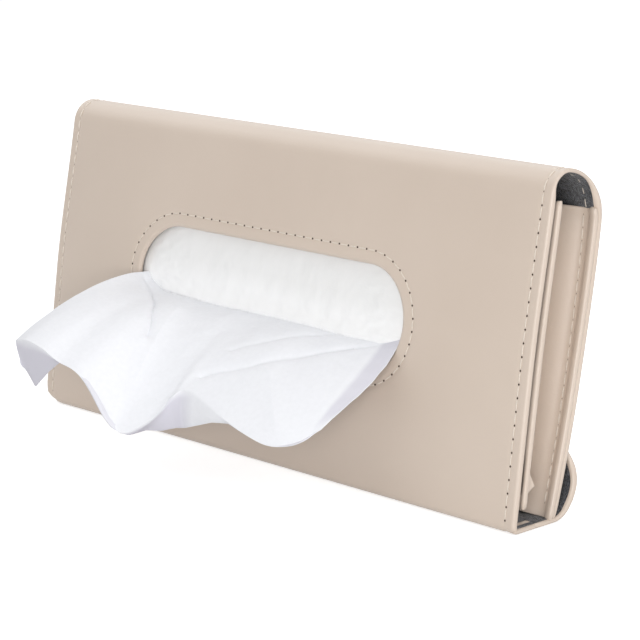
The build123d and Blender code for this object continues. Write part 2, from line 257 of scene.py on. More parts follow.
class HolderSettings(bpy.types.PropertyGroup):
    """Everything that the operators read."""

    cover: PointerProperty(type=HolderCover)
    opening: PointerProperty(type=HolderOpening)
    refill: PointerProperty(type=HolderRefill)
    seams: PointerProperty(type=HolderSeams)
    gusset: PointerProperty(type=HolderGusset)
    straps: PointerProperty(type=HolderStraps)
    tissue: PointerProperty(type=HolderTissue)
    stage: PointerProperty(type=HolderStage)
    looks: PointerProperty(type=HolderLooks)


# Outline and frame


# X and Z of the place by the opening's left end that is pulled outward, and how far the pull reaches
PULL_PLACE = np.array([-0.0645, 0.059])
PULL_REACH = np.array([0.011, 0.014])


class Outline:
    """A path of runs and bends in the holder's Y-Z plane, read at any distance along it."""

    def __init__(self, point, heading, steps, hand):
        """Each step is (length, turn): a run has turn 0. Hand 1 turns clockwise, -1 the other way."""
        self.hand = hand
        self.starts, self.bends = [0.0], []
        self.points, self.headings = [np.array(point)], [heading]
        for size, turn in steps:
            self.bends.append(-hand * turn / size)
            self.points.append(self._along(self.points[-1], self.headings[-1], self.bends[-1], size))
            self.headings.append(self.headings[-1] - hand * turn)
            self.starts.append(self.starts[-1] + size)
        self.length = self.starts[-1]

    @staticmethod
    def _along(point, heading, bend, distance):
        """point + distance * sinc(bend * distance / 2) at the mean heading, which is an arc's chord."""
        half = np.asarray(bend * distance / 2)
        chord = distance * np.sinc(half / math.pi)
        return np.stack([point[..., 0] + chord * np.cos(heading + half),
                         point[..., 1] + chord * np.sin(heading + half)], -1)

    def at(self, distance, depth=0.0):
        """(Y, Z) points at distances along the path, moved inward by a depth."""
        piece = np.clip(np.searchsorted(self.starts, distance, side="right") - 1, 0, len(self.bends) - 1)
        gone = distance - np.array(self.starts)[piece]
        bend = np.array(self.bends)[piece]
        heading = np.array(self.headings)[piece]
        spot = self._along(np.array(self.points)[piece], heading, bend, gone)
        heading = heading + bend * gone
        inward = self.hand * np.stack([np.sin(heading), -np.cos(heading)], -1)
        return spot + np.asarray(depth)[..., None] * inward


def arc(radius, turn):
    """A bend's length and turn."""
    return radius * abs(turn), turn


def upper_outline(cover):
    """From the middle of the front's lower fold up the front, over the crown and down the back."""
    half_turn = (math.pi / 2 + cover.lean) / 2
    tangent = cover.fold * math.tan(half_turn)
    bisector = math.atan2(tangent, cover.fold)
    start = (cover.fold * (1 - math.cos(bisector)), tangent - cover.fold * math.sin(bisector))
    steps = [
        arc(cover.fold, half_turn),
        (cover.height - cover.crown_front - tangent, 0.0),
        arc(cover.crown_front, math.pi / 2),
        arc(cover.crown_rear, math.pi / 2 - cover.bow_start),
        (cover.back_run, cover.back_run / cover.bow),
    ]
    return Outline(start, math.pi / 2 + half_turn, steps, 1)


def lower_outline(cover):
    """From the middle of the front's lower fold along the bottom and up the tongue."""
    half_turn = (math.pi / 2 + cover.lean) / 2
    upper = upper_outline(cover)
    steps = [
        arc(cover.fold, half_turn),
        (cover.bottom_run, 0.0),
        arc(cover.rear_fold, cover.rear_turn),
        arc(cover.belly, cover.belly_turn),
        (cover.lap * cover.lap_turn, -cover.lap_turn),
        (cover.lap_run, 0.0),
    ]
    return Outline(tuple(upper.points[0]), cover.lean - half_turn, steps, -1)


def front_start(cover):
    """Distance along the upper outline at which the front's height is zero."""
    upper = upper_outline(cover)
    return upper.starts[1] - upper.points[1][1]


def eased(share):
    """A share from 0 to 1 with level ends: s ** 2 * (3 - 2 * s)."""
    return share ** 2 * (3 - 2 * share)


def softened(cover, points):
    """Points in the holder frame with the front's lower left corner drawn in to a soft round.

    The corner's square of side a maps onto a quarter disc: p' = p * sqrt(1 - q * q / 2). Towards the top
    everything shifts a little to the right, eased, and the left side a little more. The opening's left
    end is pulled outward by a Gaussian about its middle.
    """
    a = cover.soft_corner
    p = np.clip(1 - (points[:, 0] + cover.width / 2) / a, 0, 1)
    q = np.clip(1 - points[:, 2] / a, 0, 1)
    fall = np.clip(1 - (points[:, 1] - cover.wall) / a, 0, 1)
    moved = points.copy()
    moved[:, 0] += a * p * (1 - np.sqrt(1 - q * q / 2)) * fall
    share = np.clip((points[:, 2] - cover.skew_start) / (cover.height - cover.skew_start), 0, 1)
    left = np.clip(-points[:, 0] / (cover.width / 2), 0, 1)
    moved[:, 0] += (cover.skew + cover.draw_in * left ** 2) * eased(share)
    pulled = (((points[:, [0, 2]] - PULL_PLACE) / PULL_REACH) ** 2).sum(1)
    moved[:, 0] -= cover.stretch * np.exp(-pulled)
    moved[:, 2] += a * q * (1 - np.sqrt(1 - p * p / 2)) * fall
    return moved


def stood(cover, points):
    """Points from the holder frame to the row frame: leant back and centred on the bottom panel."""
    tangent = cover.fold * math.tan((math.pi / 2 + cover.lean) / 2)
    middle = tangent + cover.bottom_run / 2
    c, s = math.cos(cover.lean), math.sin(cover.lean)
    points = softened(cover, points)
    return np.stack([points[:, 0],
                     points[:, 1] * c + points[:, 2] * s - middle,
                     points[:, 2] * c - points[:, 1] * s], -1)


# Meshes


# Angles from which an edge stays sharp, in general and on the tissue
SHARP = math.radians(55)
TISSUE_SHARP = math.radians(42)


def grid_places(columns, rows):
    """The X and the distance of every point of a grid, in row order."""
    x, distance = np.meshgrid(columns, rows)
    return x.ravel(), distance.ravel()


def quads(rows, columns):
    """Faces of a grid with its points in row order."""
    corner = (np.arange(rows - 1)[:, None] * columns + np.arange(columns - 1)).ravel()
    return np.stack([corner, corner + 1, corner + columns + 1, corner + columns], -1)


def point_normals(points, faces):
    """Unit normals at points, from their faces' diagonals."""
    across = np.cross(points[faces[:, 2]] - points[faces[:, 0]],
                      points[faces[:, 3]] - points[faces[:, 1]])
    normals = np.zeros_like(points)
    for corner in range(4):
        np.add.at(normals, faces[:, corner], across)
    return normals / np.maximum(np.linalg.norm(normals, axis=1, keepdims=True), TINY)


def thickened(points, faces, thickness, butt=None, rim_steps=4, both_ways=False):
    """A closed body behind an open sheet, with half round rims.

    The sheet moves inward by its thickness, one number or one for each point. A rim's ring k lies at the
    angle pi * k / rim_steps about the sheet's edge, and butt marks points whose rim stays flat.
    """
    normals = point_normals(points, faces)
    thickness = np.broadcast_to(thickness, len(points))[:, None]
    if both_ways:
        points = points + normals * thickness / 2
    edges = np.concatenate([faces[:, [i, (i + 1) % 4]] for i in range(4)])
    keys = np.sort(edges, 1)
    count = len(points)
    code = keys[:, 0].astype(np.int64) * count + keys[:, 1]
    _, where, times = np.unique(code, return_index=True, return_counts=True)
    border = edges[where[times == 1]]
    used = np.unique(border)
    slot = np.full(count, -1)
    slot[used] = np.arange(len(used))
    outward = np.zeros_like(points)
    push = np.cross(points[border[:, 1]] - points[border[:, 0]],
                    normals[border[:, 0]] + normals[border[:, 1]])
    push /= np.maximum(np.linalg.norm(push, axis=1, keepdims=True), TINY)
    for corner in range(2):
        np.add.at(outward, border[:, corner], push)
    outward = outward[used]
    outward /= np.maximum(np.linalg.norm(outward, axis=1, keepdims=True), TINY)
    if butt is not None:
        outward[butt[used]] = 0.0
    half = thickness[used] / 2
    middle = points[used] - normals[used] * half
    turns = math.pi * np.arange(1, rim_steps) / rim_steps
    rims = [middle + (normals[used] * math.cos(t) + outward * math.sin(t)) * half for t in turns]
    bodies = [points, points - normals * thickness] + rims
    between = [2 * count + k * len(used) + np.arange(len(used)) for k in range(len(turns))]
    rings = [used] + between + [count + used]
    a, b = slot[border[:, 0]], slot[border[:, 1]]
    strips = [np.stack([near[b], near[a], far[a], far[b]], -1)
              for near, far in zip(rings[:-1], rings[1:])]
    return np.concatenate(bodies), np.concatenate([faces, faces[:, ::-1] + count] + strips)


def add_mesh(name, points, faces, material, slot_name=None, sharp=SHARP):
    """A mesh object from arrays, smooth but for its sharp edges."""
    mesh = bpy.data.meshes.new(name)
    mesh.from_pydata(np.asarray(points).tolist(), [], [list(face) for face in faces])
    mesh.validate()
    mesh.shade_smooth()
    mesh.set_sharp_from_angle(angle=sharp)
    mesh.materials.append(bpy.data.materials[material])
    made = bpy.data.objects.new(name, mesh)
    bpy.context.collection.objects.link(made)
    return made


def spaced(stops, steps):
    """Points along a line through stops, each stretch cut into its own number of steps."""
    parts = [np.linspace(a, b, n, endpoint=False) for a, b, n in zip(stops[:-1], stops[1:], steps)]
    return np.concatenate(parts + [[stops[-1]]])


def noise(points, seed, scale, count=24):
    """A smooth random value near -1 to 1: a sum of sine waves in random directions."""
    random = np.random.default_rng(seed)
    waves = random.normal(size=(count, points.shape[-1])) * scale
    phases = random.uniform(0, 2 * math.pi, count)
    return np.sin(points @ waves.T + phases).sum(-1) * math.sqrt(2 / count) / 2


def spline_weights(count, samples):
    """Catmull-Rom weights that read count values at samples even places, ends included."""
    place = np.linspace(0, count - 1, samples)
    piece = np.minimum(place.astype(int), count - 2)
    t = place - piece
    basis = np.stack([
        -t / 2 + t ** 2 - t ** 3 / 2, 1 - 5 * t ** 2 / 2 + 3 * t ** 3 / 2,
        t / 2 + 2 * t ** 2 - 3 * t ** 3 / 2, -t ** 2 / 2 + t ** 3 / 2,
    ], -1)
    weights = np.zeros((samples, count + 2))
    for k in range(4):
        weights[np.arange(samples), piece + k] += basis[:, k]
    inner = weights[:, 1:-1].copy()
    inner[:, 0] += 2 * weights[:, 0]
    inner[:, 1] -= weights[:, 0]
    inner[:, -1] += 2 * weights[:, -1]
    inner[:, -2] -= weights[:, -1]
    return inner


# The cover's shape


# How full the pillow is up the front: the power of its sine
PILLOW_POWER = 0.8
# The thin crown: how far it reaches past its bends, and the length over which the wall thins
CROWN_PAST = 0.002
CROWN_FADE = 0.007
# The thicker rim behind the crown: its distance from the rear bend's middle and its reach
REAR_RIM_PLACE = 0.006
REAR_RIM_REACH = 0.0035
# The thicker belly of the tongue: how far it reaches past its bends, and its rise and fall
BELLY_PAST = 0.002
BELLY_RISE = 0.008
BELLY_FALL = 0.006
# Distances from the hole's edge to the rings of points round it, closer by the rim and under the seam
HOLE_RINGS = np.array([0.0011, 0.0015, 0.0021, 0.0028, 0.0034, 0.0038, 0.0042, 0.0046,
                       0.0050, 0.0054, 0.0059, 0.0066, 0.0076])
# Further rings, as shares of the way from the last one to the window in the grid
FAR_RINGS = np.array([0.25, 0.5, 0.75])
# Columns by the side seams: where they start, half the seam's band, and the faces in each stretch
SEAM_APPROACH = 0.010
SEAM_BAND = 0.002
SEAM_STEPS = (4, 8, 3)
# Faces across half the width, and along each run and bend of the panels
UPPER_COLUMNS = 40
LOWER_COLUMNS = 24
UPPER_STEPS = (8, 44, 12, 16, 30)
BOTTOM_STEPS = (8, 8)
TONGUE_STEPS = (4, 14, 22, 12, 12)
# The same for the felt, where it starts beside the lower fold, and its gap round the facing
FELT_COLUMNS = 80
FELT_UPPER_STEPS = (4, 40, 12, 16, 24)
FELT_BOTTOM_STEPS = (4, 8)
FELT_UPPER_START = 0.0015
FELT_BOTTOM_START = 0.0012
FELT_GAP = 0.0055
# How deep a second point lies that tells a panel's inner side from its outer one
PROBE = 0.001
# Where the bends at the joints end: a share of the crown's front radius, and lengths at the folds
CROWN_BEND_END = 0.45
BOTTOM_BEND = 0.0025
TONGUE_BEND = 0.003


def groove(seams, off):
    """Depth of the groove under a seam: a Gaussian over the distance from it."""
    return seams.groove * np.exp(-(off / seams.groove_width) ** 2)


def front_face(settings, x, distance):
    """How far the front's leather stands out, at X and a distance up the outline.

    The pillow is B * (1 - |x / w| ** 4) * sin(pi * share) ** PILLOW_POWER, less a groove per seam.
    """
    cover, opening, seams = settings.cover, settings.opening, settings.seams
    upper = upper_outline(cover)
    low, high = upper.starts[1], upper.starts[2] + (upper.starts[3] - upper.starts[2]) / 2
    share = np.clip((distance - low) / (high - low), 0, 1)
    across = np.clip(np.abs(x) / (cover.width / 2), 0, 1)
    rise = cover.pillow * (1 - across ** 4) * np.sin(math.pi * share) ** PILLOW_POWER
    height = distance - front_start(cover) - opening.centre
    around = stadium_distance(opening, x, height) - opening.radius - opening.seam
    beside = cover.width / 2 - seams.inset - np.abs(x)
    return rise - groove(seams, around) - groove(seams, beside)


def wall_at(cover, distance):
    """Thickness of the cover along the upper outline: thinner about the crown, where no board is."""
    upper = upper_outline(cover)
    middle = (upper.starts[3] + upper.starts[4]) / 2
    low, high = upper.starts[2] - CROWN_PAST, middle + CROWN_PAST
    share = np.clip(np.minimum(distance - low, high - distance) / CROWN_FADE, 0, 1)
    rear = np.exp(-((distance - middle - REAR_RIM_PLACE) / REAR_RIM_REACH) ** 2)
    return cover.wall + (cover.crown_wall - cover.wall) * eased(share) + cover.rear_rim * rear


def tongue_wall(cover, outline, distance):
    """Thickness of the bottom and the tongue along the lower outline: thicker about the belly."""
    low, high = outline.starts[2] + BELLY_PAST, outline.starts[4] + BELLY_PAST
    share = np.clip(np.minimum((distance - low) / BELLY_RISE, (high - distance) / BELLY_FALL), 0, 1)
    return cover.soft_wall + (cover.belly_wall - cover.soft_wall) * eased(share)


def stadium_distance(opening, x, height):
    """Distance from the opening's core line."""
    return np.hypot(np.maximum(np.abs(x) - opening.straight / 2, 0), height)


def cover_points(settings, outline, x, distance, depth, rise=None):
    """Points of a panel in the row frame, depth inward of its outline less the leather's rise."""
    spot = outline.at(distance, depth - (rise if rise is not None else 0.0))
    return stood(settings.cover, np.column_stack([x, spot]))


def windowed_grid(opening, columns, rows, offset):
    """A grid with a ring of faces from its window to the stadium hole: (x, distance) points and faces.

    Ring points run from the nearest place on the core line c outward: c + d * (r + t * (D - r)).
    """
    half_x, half_z = opening.straight / 2 + opening.window, opening.window
    left, right = np.searchsorted(columns, -half_x), np.searchsorted(columns, half_x) - 1
    low = np.searchsorted(rows, offset - half_z)
    high = np.searchsorted(rows, offset + half_z) - 1
    points = np.column_stack(grid_places(columns, rows))
    faces = quads(len(rows), len(columns))
    row, column = np.divmod(faces[:, 0], len(columns))
    inside = (row >= low) & (row < high) & (column >= left) & (column < right)
    faces = faces[~inside]
    loop = np.concatenate([
        low * len(columns) + np.arange(left, right),
        np.arange(low, high) * len(columns) + right,
        high * len(columns) + np.arange(right, left, -1),
        np.arange(high, low, -1) * len(columns) + left,
    ])
    edge = points[loop] - (0, offset)
    along = np.clip(edge[:, 0], -opening.straight / 2, opening.straight / 2)
    core = np.column_stack([along, 0 * along])
    reach = np.linalg.norm(edge - core, axis=1)
    aim = (edge - core) / reach[:, None]
    near = opening.radius + HOLE_RINGS
    rings = [core + aim * distance for distance in near]
    rings += [core + aim * (near[-1] + share * (reach - near[-1]))[:, None] for share in FAR_RINGS]
    start = len(points)
    points = np.concatenate([points] + [ring + (0, offset) for ring in rings])
    size = len(loop)
    index = [start + k * size + np.arange(size) for k in range(len(rings))] + [loop]
    ring_faces = [
        np.stack([outer, np.roll(outer, -1), np.roll(inner, -1), inner], -1)
        for inner, outer in zip(index[:-1], index[1:])
    ]
    return points, np.concatenate([faces] + ring_faces)


def side_columns(settings, edge, inner_steps):
    """X places over the width, closer together by the side seams."""
    line = settings.cover.width / 2 - settings.seams.inset
    stops = [0.0, line - SEAM_APPROACH, line - SEAM_BAND, line + SEAM_BAND, edge]
    right = spaced(stops, [inner_steps, *SEAM_STEPS])
    return np.concatenate([-right[:0:-1], right])


class TISSUEHOLDER_OT_leather(bpy.types.Operator):
    """Build the cover's leather: front, crown and back in one sheet, then the bottom and the tongue"""

    bl_idname = "tissueholder.leather"
    bl_label = "Leather cover"

    def execute(self, context):
        settings = context.scene.tissue_holder
        cover, opening = settings.cover, settings.opening
        upper, lower = upper_outline(cover), lower_outline(cover)
        edge = cover.width / 2 - cover.wall / 2
        columns = side_columns(settings, edge, UPPER_COLUMNS)
        rows = spaced(upper.starts, UPPER_STEPS)
        flat, faces = windowed_grid(opening, columns, rows, front_start(cover) + opening.centre)
        x, distance = flat.T
        depth = np.zeros(len(flat))
        rise = front_face(settings, x, distance)
        points = cover_points(settings, upper, x, distance, depth, rise)
        faces = faces[:, ::-1] if point_normals(points, faces)[0][1] > 0 else faces
        butt = distance < TINY
        wall = wall_at(cover, distance)
        made = add_mesh("cover_upper", *thickened(points, faces, wall, butt), "Leather", "leather")
        crown_blend(cover)
        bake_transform(made)
        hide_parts("cover_front", "cover_top", "cover_back", "opening_facing")

        middle = (lower.starts[1] + lower.starts[2]) / 2
        edge = cover.width / 2 - cover.soft_wall / 2
        columns = side_columns(settings, edge, LOWER_COLUMNS)
        rows = spaced([0.0, lower.starts[1], middle], BOTTOM_STEPS)
        made = self.panel(settings, "cover_bottom_skin", lower, columns, rows, 0.0)
        bottom_blend(cover)
        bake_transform(made)
        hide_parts("cover_bottom")

        rows = spaced([middle] + lower.starts[2:], TONGUE_STEPS)
        made = self.panel(settings, "cover_tongue_skin", lower, columns, rows, cover.tongue_corner)
        tongue_blend(cover)
        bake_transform(made)
        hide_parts("cover_tongue")
        return {"FINISHED"}

    @staticmethod
    def panel(settings, name, outline, columns, rows, corner):
        """A leather panel of the bottom or the tongue; a corner rounds the tongue's upper end."""
        x, distance = grid_places(columns, rows)
        x = x * corner_share(settings.cover, outline, distance, corner)
        off = settings.cover.width / 2 - settings.seams.inset - np.abs(x)
        rise = 0 * x if corner else -groove(settings.seams, off)
        points = cover_points(settings, outline, x, distance, np.zeros(len(x)), rise)
        faces = quads(len(rows), len(columns))[:, ::-1]
        butt = np.isin(distance, [rows[0]] if corner else [rows[0], rows[-1]])
        wall = tongue_wall(settings.cover, outline, distance)
        return add_mesh(name, *thickened(points, faces, wall, butt), "Leather", "leather")


def corner_share(cover, outline, distance, corner):
    """The tongue's half width at a distance, over its full half width: a quarter circle at the corners."""
    left = np.clip(corner - (outline.length - distance), 0, corner)
    cut = corner - np.sqrt(np.maximum(corner ** 2 - left ** 2, 0))
    return 1 - cut / (cover.width / 2)


def crown_blend(cover):
    """Where the crown's bend between the back and the front starts and ends, in the row frame."""
    height = cover.height - cover.crown_front / 2
    places = [(0, cover.crown_front, height), (0, cover.crown_front * CROWN_BEND_END, height)]
    return stood(cover, np.array(places))


def bottom_blend(cover):
    """Where the bottom's bend starts, at the lower fold, and ends."""
    lower = lower_outline(cover)
    return cover_line(cover, lower, np.array([0.0, lower.starts[1] + BOTTOM_BEND]))


def tongue_blend(cover):
    """Where the tongue's bend starts and ends, about the rear fold's middle."""
    lower = lower_outline(cover)
    middle = (lower.starts[2] + lower.starts[3]) / 2
    return cover_line(cover, lower, np.array([middle - TONGUE_BEND, middle + TONGUE_BEND]))


def cover_line(cover, outline, distance, x=0.0, depth=0.0):
    """Points on an outline in the row frame."""
    spot = outline.at(distance, np.full(len(distance), depth))
    return stood(cover, np.column_stack([np.full(len(distance), x), spot]))


class TISSUEHOLDER_OT_felt(bpy.types.Operator):
    """Build the black felt that lines the cover"""

    bl_idname = "tissueholder.felt"
    bl_label = "Felt linings"

    def execute(self, context):
        settings = context.scene.tissue_holder
        cover, opening = settings.cover, settings.opening
        upper, lower = upper_outline(cover), lower_outline(cover)
        half = cover.width / 2 - cover.hem
        columns = np.linspace(-half, half, FELT_COLUMNS)
        stops = [FELT_UPPER_START] + upper.starts[1:-1] + [upper.length - cover.hem]
        rows = spaced(stops, FELT_UPPER_STEPS)
        flat, faces = windowed_grid(opening, columns, rows, front_start(cover) + opening.centre)
        x, distance = flat.T
        off = stadium_distance(opening, x, distance - front_start(cover) - opening.centre)
        keep = (off[faces] > opening.radius + FELT_GAP).all(1)
        faces = faces[keep]
        rise = front_face(settings, x, distance)
        depth = wall_at(cover, distance) + cover.felt_proud
        self.lining(settings, "lining_upper", upper, x, distance, depth, rise, faces,
                    ("back", "front", *crown_blend(cover)), ("lining_front", "lining_top", "lining_back"))

        middle = (lower.starts[1] + lower.starts[2]) / 2
        rows = spaced([FELT_BOTTOM_START, lower.starts[1], middle], FELT_BOTTOM_STEPS)
        x, distance = grid_places(columns, rows)
        depth = np.full(len(x), cover.soft_wall + cover.felt_proud)
        self.lining(settings, "lining_bottom_skin", lower, x, distance, depth, 0 * x,
                    quads(len(rows), len(columns)), ("front", "bottom", *bottom_blend(cover)),
                    ("lining_bottom",))

        rows = spaced([middle] + lower.starts[2:-1] + [lower.length - cover.hem], TONGUE_STEPS)
        x, distance = grid_places(columns, rows)
        x = x * corner_share(cover, lower, distance + cover.hem, cover.tongue_corner)
        depth = tongue_wall(cover, lower, distance) + cover.felt_proud
        self.lining(settings, "lining_tongue_skin", lower, x, distance, depth, 0 * x,
                    quads(len(rows), len(columns)), ("bottom", "tongue", *tongue_blend(cover)),
                    ("lining_tongue",))
        return {"FINISHED"}

    @staticmethod
    def lining(settings, name, outline, x, distance, depth, rise, faces, blend, nodes):
        """One felt skin, with its visible face inward."""
        points = cover_points(settings, outline, x, distance, depth, rise)
        faces, points = packed(faces, points)
        inner = cover_points(settings, outline, x[:1], distance[:1], depth[:1] + PROBE, rise[:1])[0]
        outer = cover_points(settings, outline, x[:1], distance[:1], depth[:1], rise[:1])[0]
        if point_normals(points, faces)[0] @ (inner - outer) < 0:
            faces = faces[:, ::-1]
        made = add_mesh(name, *thickened(points, faces, settings.cover.felt_sheet), "Felt", "felt")
        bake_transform(made)
        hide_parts(*nodes)


def packed(faces, points):
    """Faces and points without the points that no face uses."""
    used = np.unique(faces)
    index = np.full(len(points), -1)
    index[used] = np.arange(len(used))
    return index[faces], points[used]


# Gussets


# Rows up a gusset and columns across it
GUSSET_ROWS = 90
GUSSET_COLUMNS = 65
# Half the depth between the panels, with which a wing's share of the columns is worked out
GUSSET_HALF_DEPTH = 0.008
# How far its folds are averaged to either side, and over how many places
FOLD_REACH = 0.0012
FOLD_PLACES = 9
# How fast the turned edge's swelling ends inward
ROLL_FALL = 2.2
# Powers with which the rear wing's drop fades upward and the front corner's rise fades downward
DROP_POWER = 6
RISE_POWER = 8
# How far across the front corner's rise reaches, and how far from the side the ear stays
RISE_REACH = 0.0022
EAR_MARGIN = 0.0012
# Where a gusset bends: shares of the rear edge's depth and of the wall's thickness
REAR_BEND = 0.9
FRONT_BEND = 1.8
# How far past a gusset's middle point the one lies that tells which way it faces
BESIDE_MIDDLE = 5
# Places at which the back's outline is read
BACK_READINGS = 400


class TISSUEHOLDER_OT_gussets(bpy.types.Operator):
    """Build the V-folded gussets at both sides"""

    bl_idname = "tissueholder.gussets"
    bl_label = "Gussets"

    def execute(self, context):
        settings = context.scene.tissue_holder
        for side, name in ((1, "right"), (-1, "left")):
            points, faces, thickness = gusset_sheet(settings, side)
            made = add_mesh(f"gusset_skin_{name}", *thickened(points, faces, thickness, both_ways=True),
                            "Leather", "leather")
            gusset_blend(settings.cover)
            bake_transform(made)
            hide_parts(f"gusset_{name}")
        return {"FINISHED"}


def gusset_blend(cover):
    """From the back wing's plane to the front wing's, in the row frame."""
    height = cover.height / 2
    rear = upper_outline(cover).points[-1][0] * REAR_BEND
    return stood(cover, np.array([(0, rear, height), (0, cover.wall * FRONT_BEND, height)]))


def rear_depth(cover, height, depth):
    """How far back the back's face lies at a height, at a depth under it."""
    upper = upper_outline(cover)
    distance = np.linspace(upper.starts[3], upper.length, BACK_READINGS)
    line = upper.at(distance, np.full(len(distance), depth))
    return np.interp(height, line[::-1, 1], line[::-1, 0])


def rolled_share(gusset, place):
    """How far the turned edge swells at a distance from the gusset's free edge: 1 to 0, smoothly."""
    return eased(np.clip(ROLL_FALL - ROLL_FALL * place / gusset.rolled_width, 0, 1))


def gusset_sheet(settings, side, levels=None, shares=None):
    """The mid surface of a gusset's V, as points, faces and thicknesses.

    Each level's line goes in from the front edge to the V's tip and out to the rear edge, rounded by
    averaging it over a short stretch. The ear is a tent in the share across times a fade in height.
    """
    cover, gusset = settings.cover, settings.gusset
    if levels is None:
        levels = np.linspace(gusset.bottom, cover.height - gusset.top_gap, GUSSET_ROWS)
    if shares is None:
        shares = np.linspace(0, 1, GUSSET_COLUMNS)
    inset = cover.wall + gusset.clearance + gusset.thickness / 2
    rear = rear_depth(cover, levels, inset)
    front = np.full(len(levels), inset + gusset.front_gap)
    across = cover.width / 2
    x_stops = np.array([across - gusset.inset, across - gusset.seam, across - gusset.depth,
                        across - gusset.seam, across - gusset.inset])
    y_stops = np.stack([front, front, (front + rear) / 2, rear, rear], 1)
    wing = np.hypot(gusset.depth - gusset.seam, GUSSET_HALF_DEPTH)
    stops = np.cumsum([0, gusset.seam - gusset.inset, wing, wing, gusset.seam - gusset.inset])
    place = shares * stops[-1]
    spread = np.linspace(-FOLD_REACH, FOLD_REACH, FOLD_PLACES)
    x = np.mean([np.interp(place + d, stops, x_stops) for d in spread], 0)
    y = np.mean([[np.interp(place + d, stops, row) for row in y_stops] for d in spread], 0)
    front_roll, rear_roll = rolled_share(gusset, place), rolled_share(gusset, stops[-1] - place)
    y = y + gusset.rolled / 2 * (front_roll - rear_roll)
    thickness = gusset.thickness + gusset.rolled * (front_roll + rear_roll)
    thickness = np.broadcast_to(thickness, y.shape).ravel()
    up = (levels[:, None] - gusset.bottom) / (cover.height - gusset.top_gap - gusset.bottom)
    z = levels[:, None] - gusset.rear_drop * eased(shares) * (1 - up) ** DROP_POWER
    z = z + gusset.front_rise * np.exp(-(place / RISE_REACH) ** 2) * np.clip(up, 0, 1) ** RISE_POWER
    ear = np.clip(1 - np.abs(shares - gusset.ear_place) / gusset.ear_half, 0, 1)
    ear = ear * np.clip(1 - (levels[:, None] - gusset.bottom) / gusset.ear_height, 0, 1)
    x = x + gusset.ear * ear * (across - EAR_MARGIN - x)
    y = y + gusset.ear_push * ear
    z = z + gusset.ear_lift * ear
    points = stood(cover, np.column_stack([side * x.ravel(), y.ravel(), z.ravel()]))
    faces = quads(len(levels), len(shares))
    outward = point_normals(points, faces)[len(points) // 2 + BESIDE_MIDDLE][0] * side
    return points, faces if outward > 0 else faces[:, ::-1], thickness


# Seams


# A stitch's rings: their places from -1 to 1 between its holes
STITCH_RINGS = np.array([-1.0, -0.9, -0.6, 0.0, 0.6, 0.9, 1.0])
STITCH_SIDES = 6
# Half a stitch's length as a share of the pitch, how high it lies and how far it falls, in thread radii
STITCH_HALF = 0.40
STITCH_LIFT = 0.55
STITCH_FALL = 1.5
# How far to either side a line's direction is read, as a share of the pitch
READING_STEP = 0.25
# The least square of a stitch's radius at its ends, as a share
STITCH_END = 0.06
# A needle hole's rings, a small dark plug that carries the painted shade in the hole: radius and height in
# hole radii
HOLE_SHAPE = ((1.0, -1.0), (1.0, 0.12), (0.7, 0.22))
HOLE_SIDES = 8
# How many neighbours to either side a gusset's seam is averaged over
SMOOTHED = 10
# Where the side edges' seams start and end, in from the cover's ends, and their readings
EDGE_START = 0.0035
EDGE_END = 0.003
EDGE_READINGS = 500
# Sizes of the needle holes' painted shade and of the thread in the side edges' seams: on the left the
# painted shade is smaller and the thread thicker
HOLE_SHADES_SHOWN = {"right": 1.0, "left": 0.4}
THREAD_SHOWN = {"right": 1.0, "left": 1.35}
# The needle holes' painted shade shrinks over the crown: by how much, where past its middle, and how far
CROWN_CLOSED = 0.75
CROWN_CLOSED_PLACE = 0.004
CROWN_CLOSED_REACH = 0.012
# How far the seam inside the arch runs past the bends, and its readings
ARCH_PAST = 0.004
ARCH_READINGS = 120
# The bottom's seam: its start past the fold, its readings and its thinner thread
BOTTOM_SEAM_START = 0.001
BOTTOM_SEAM_READINGS = 40
BOTTOM_THREAD = 0.6
# The gussets' seams: ends, readings, place across the gusset, slant, and the sizes of their holes' painted
# shade and of their thread
GUSSET_SEAM_START = 0.002
GUSSET_SEAM_END = 0.0006
GUSSET_SEAM_READINGS = 200
GUSSET_SEAMS = (("rear", 0.925, -0.03), ("front", 0.075, 0.0))
GUSSET_SEAM_BAND = (-0.05, 0.01, 13)
GUSSET_HOLE_SHADES = 0.35
GUSSET_THREAD = 1.15
# Readings round each end and along each side of the opening's seam
ROUND_READINGS = 90
SIDE_READINGS = 60


def tube_faces(rings, sides):
    """Faces of a closed tube: quads between its rings and a cap at either end."""
    ring = np.arange(sides)
    faces = [[low + k, low + (k + 1) % sides, low + sides + (k + 1) % sides, low + sides + k]
             for low in range(0, (rings - 1) * sides, sides) for k in ring]
    return faces + [list(ring[::-1]), list(ring + (rings - 1) * sides)]


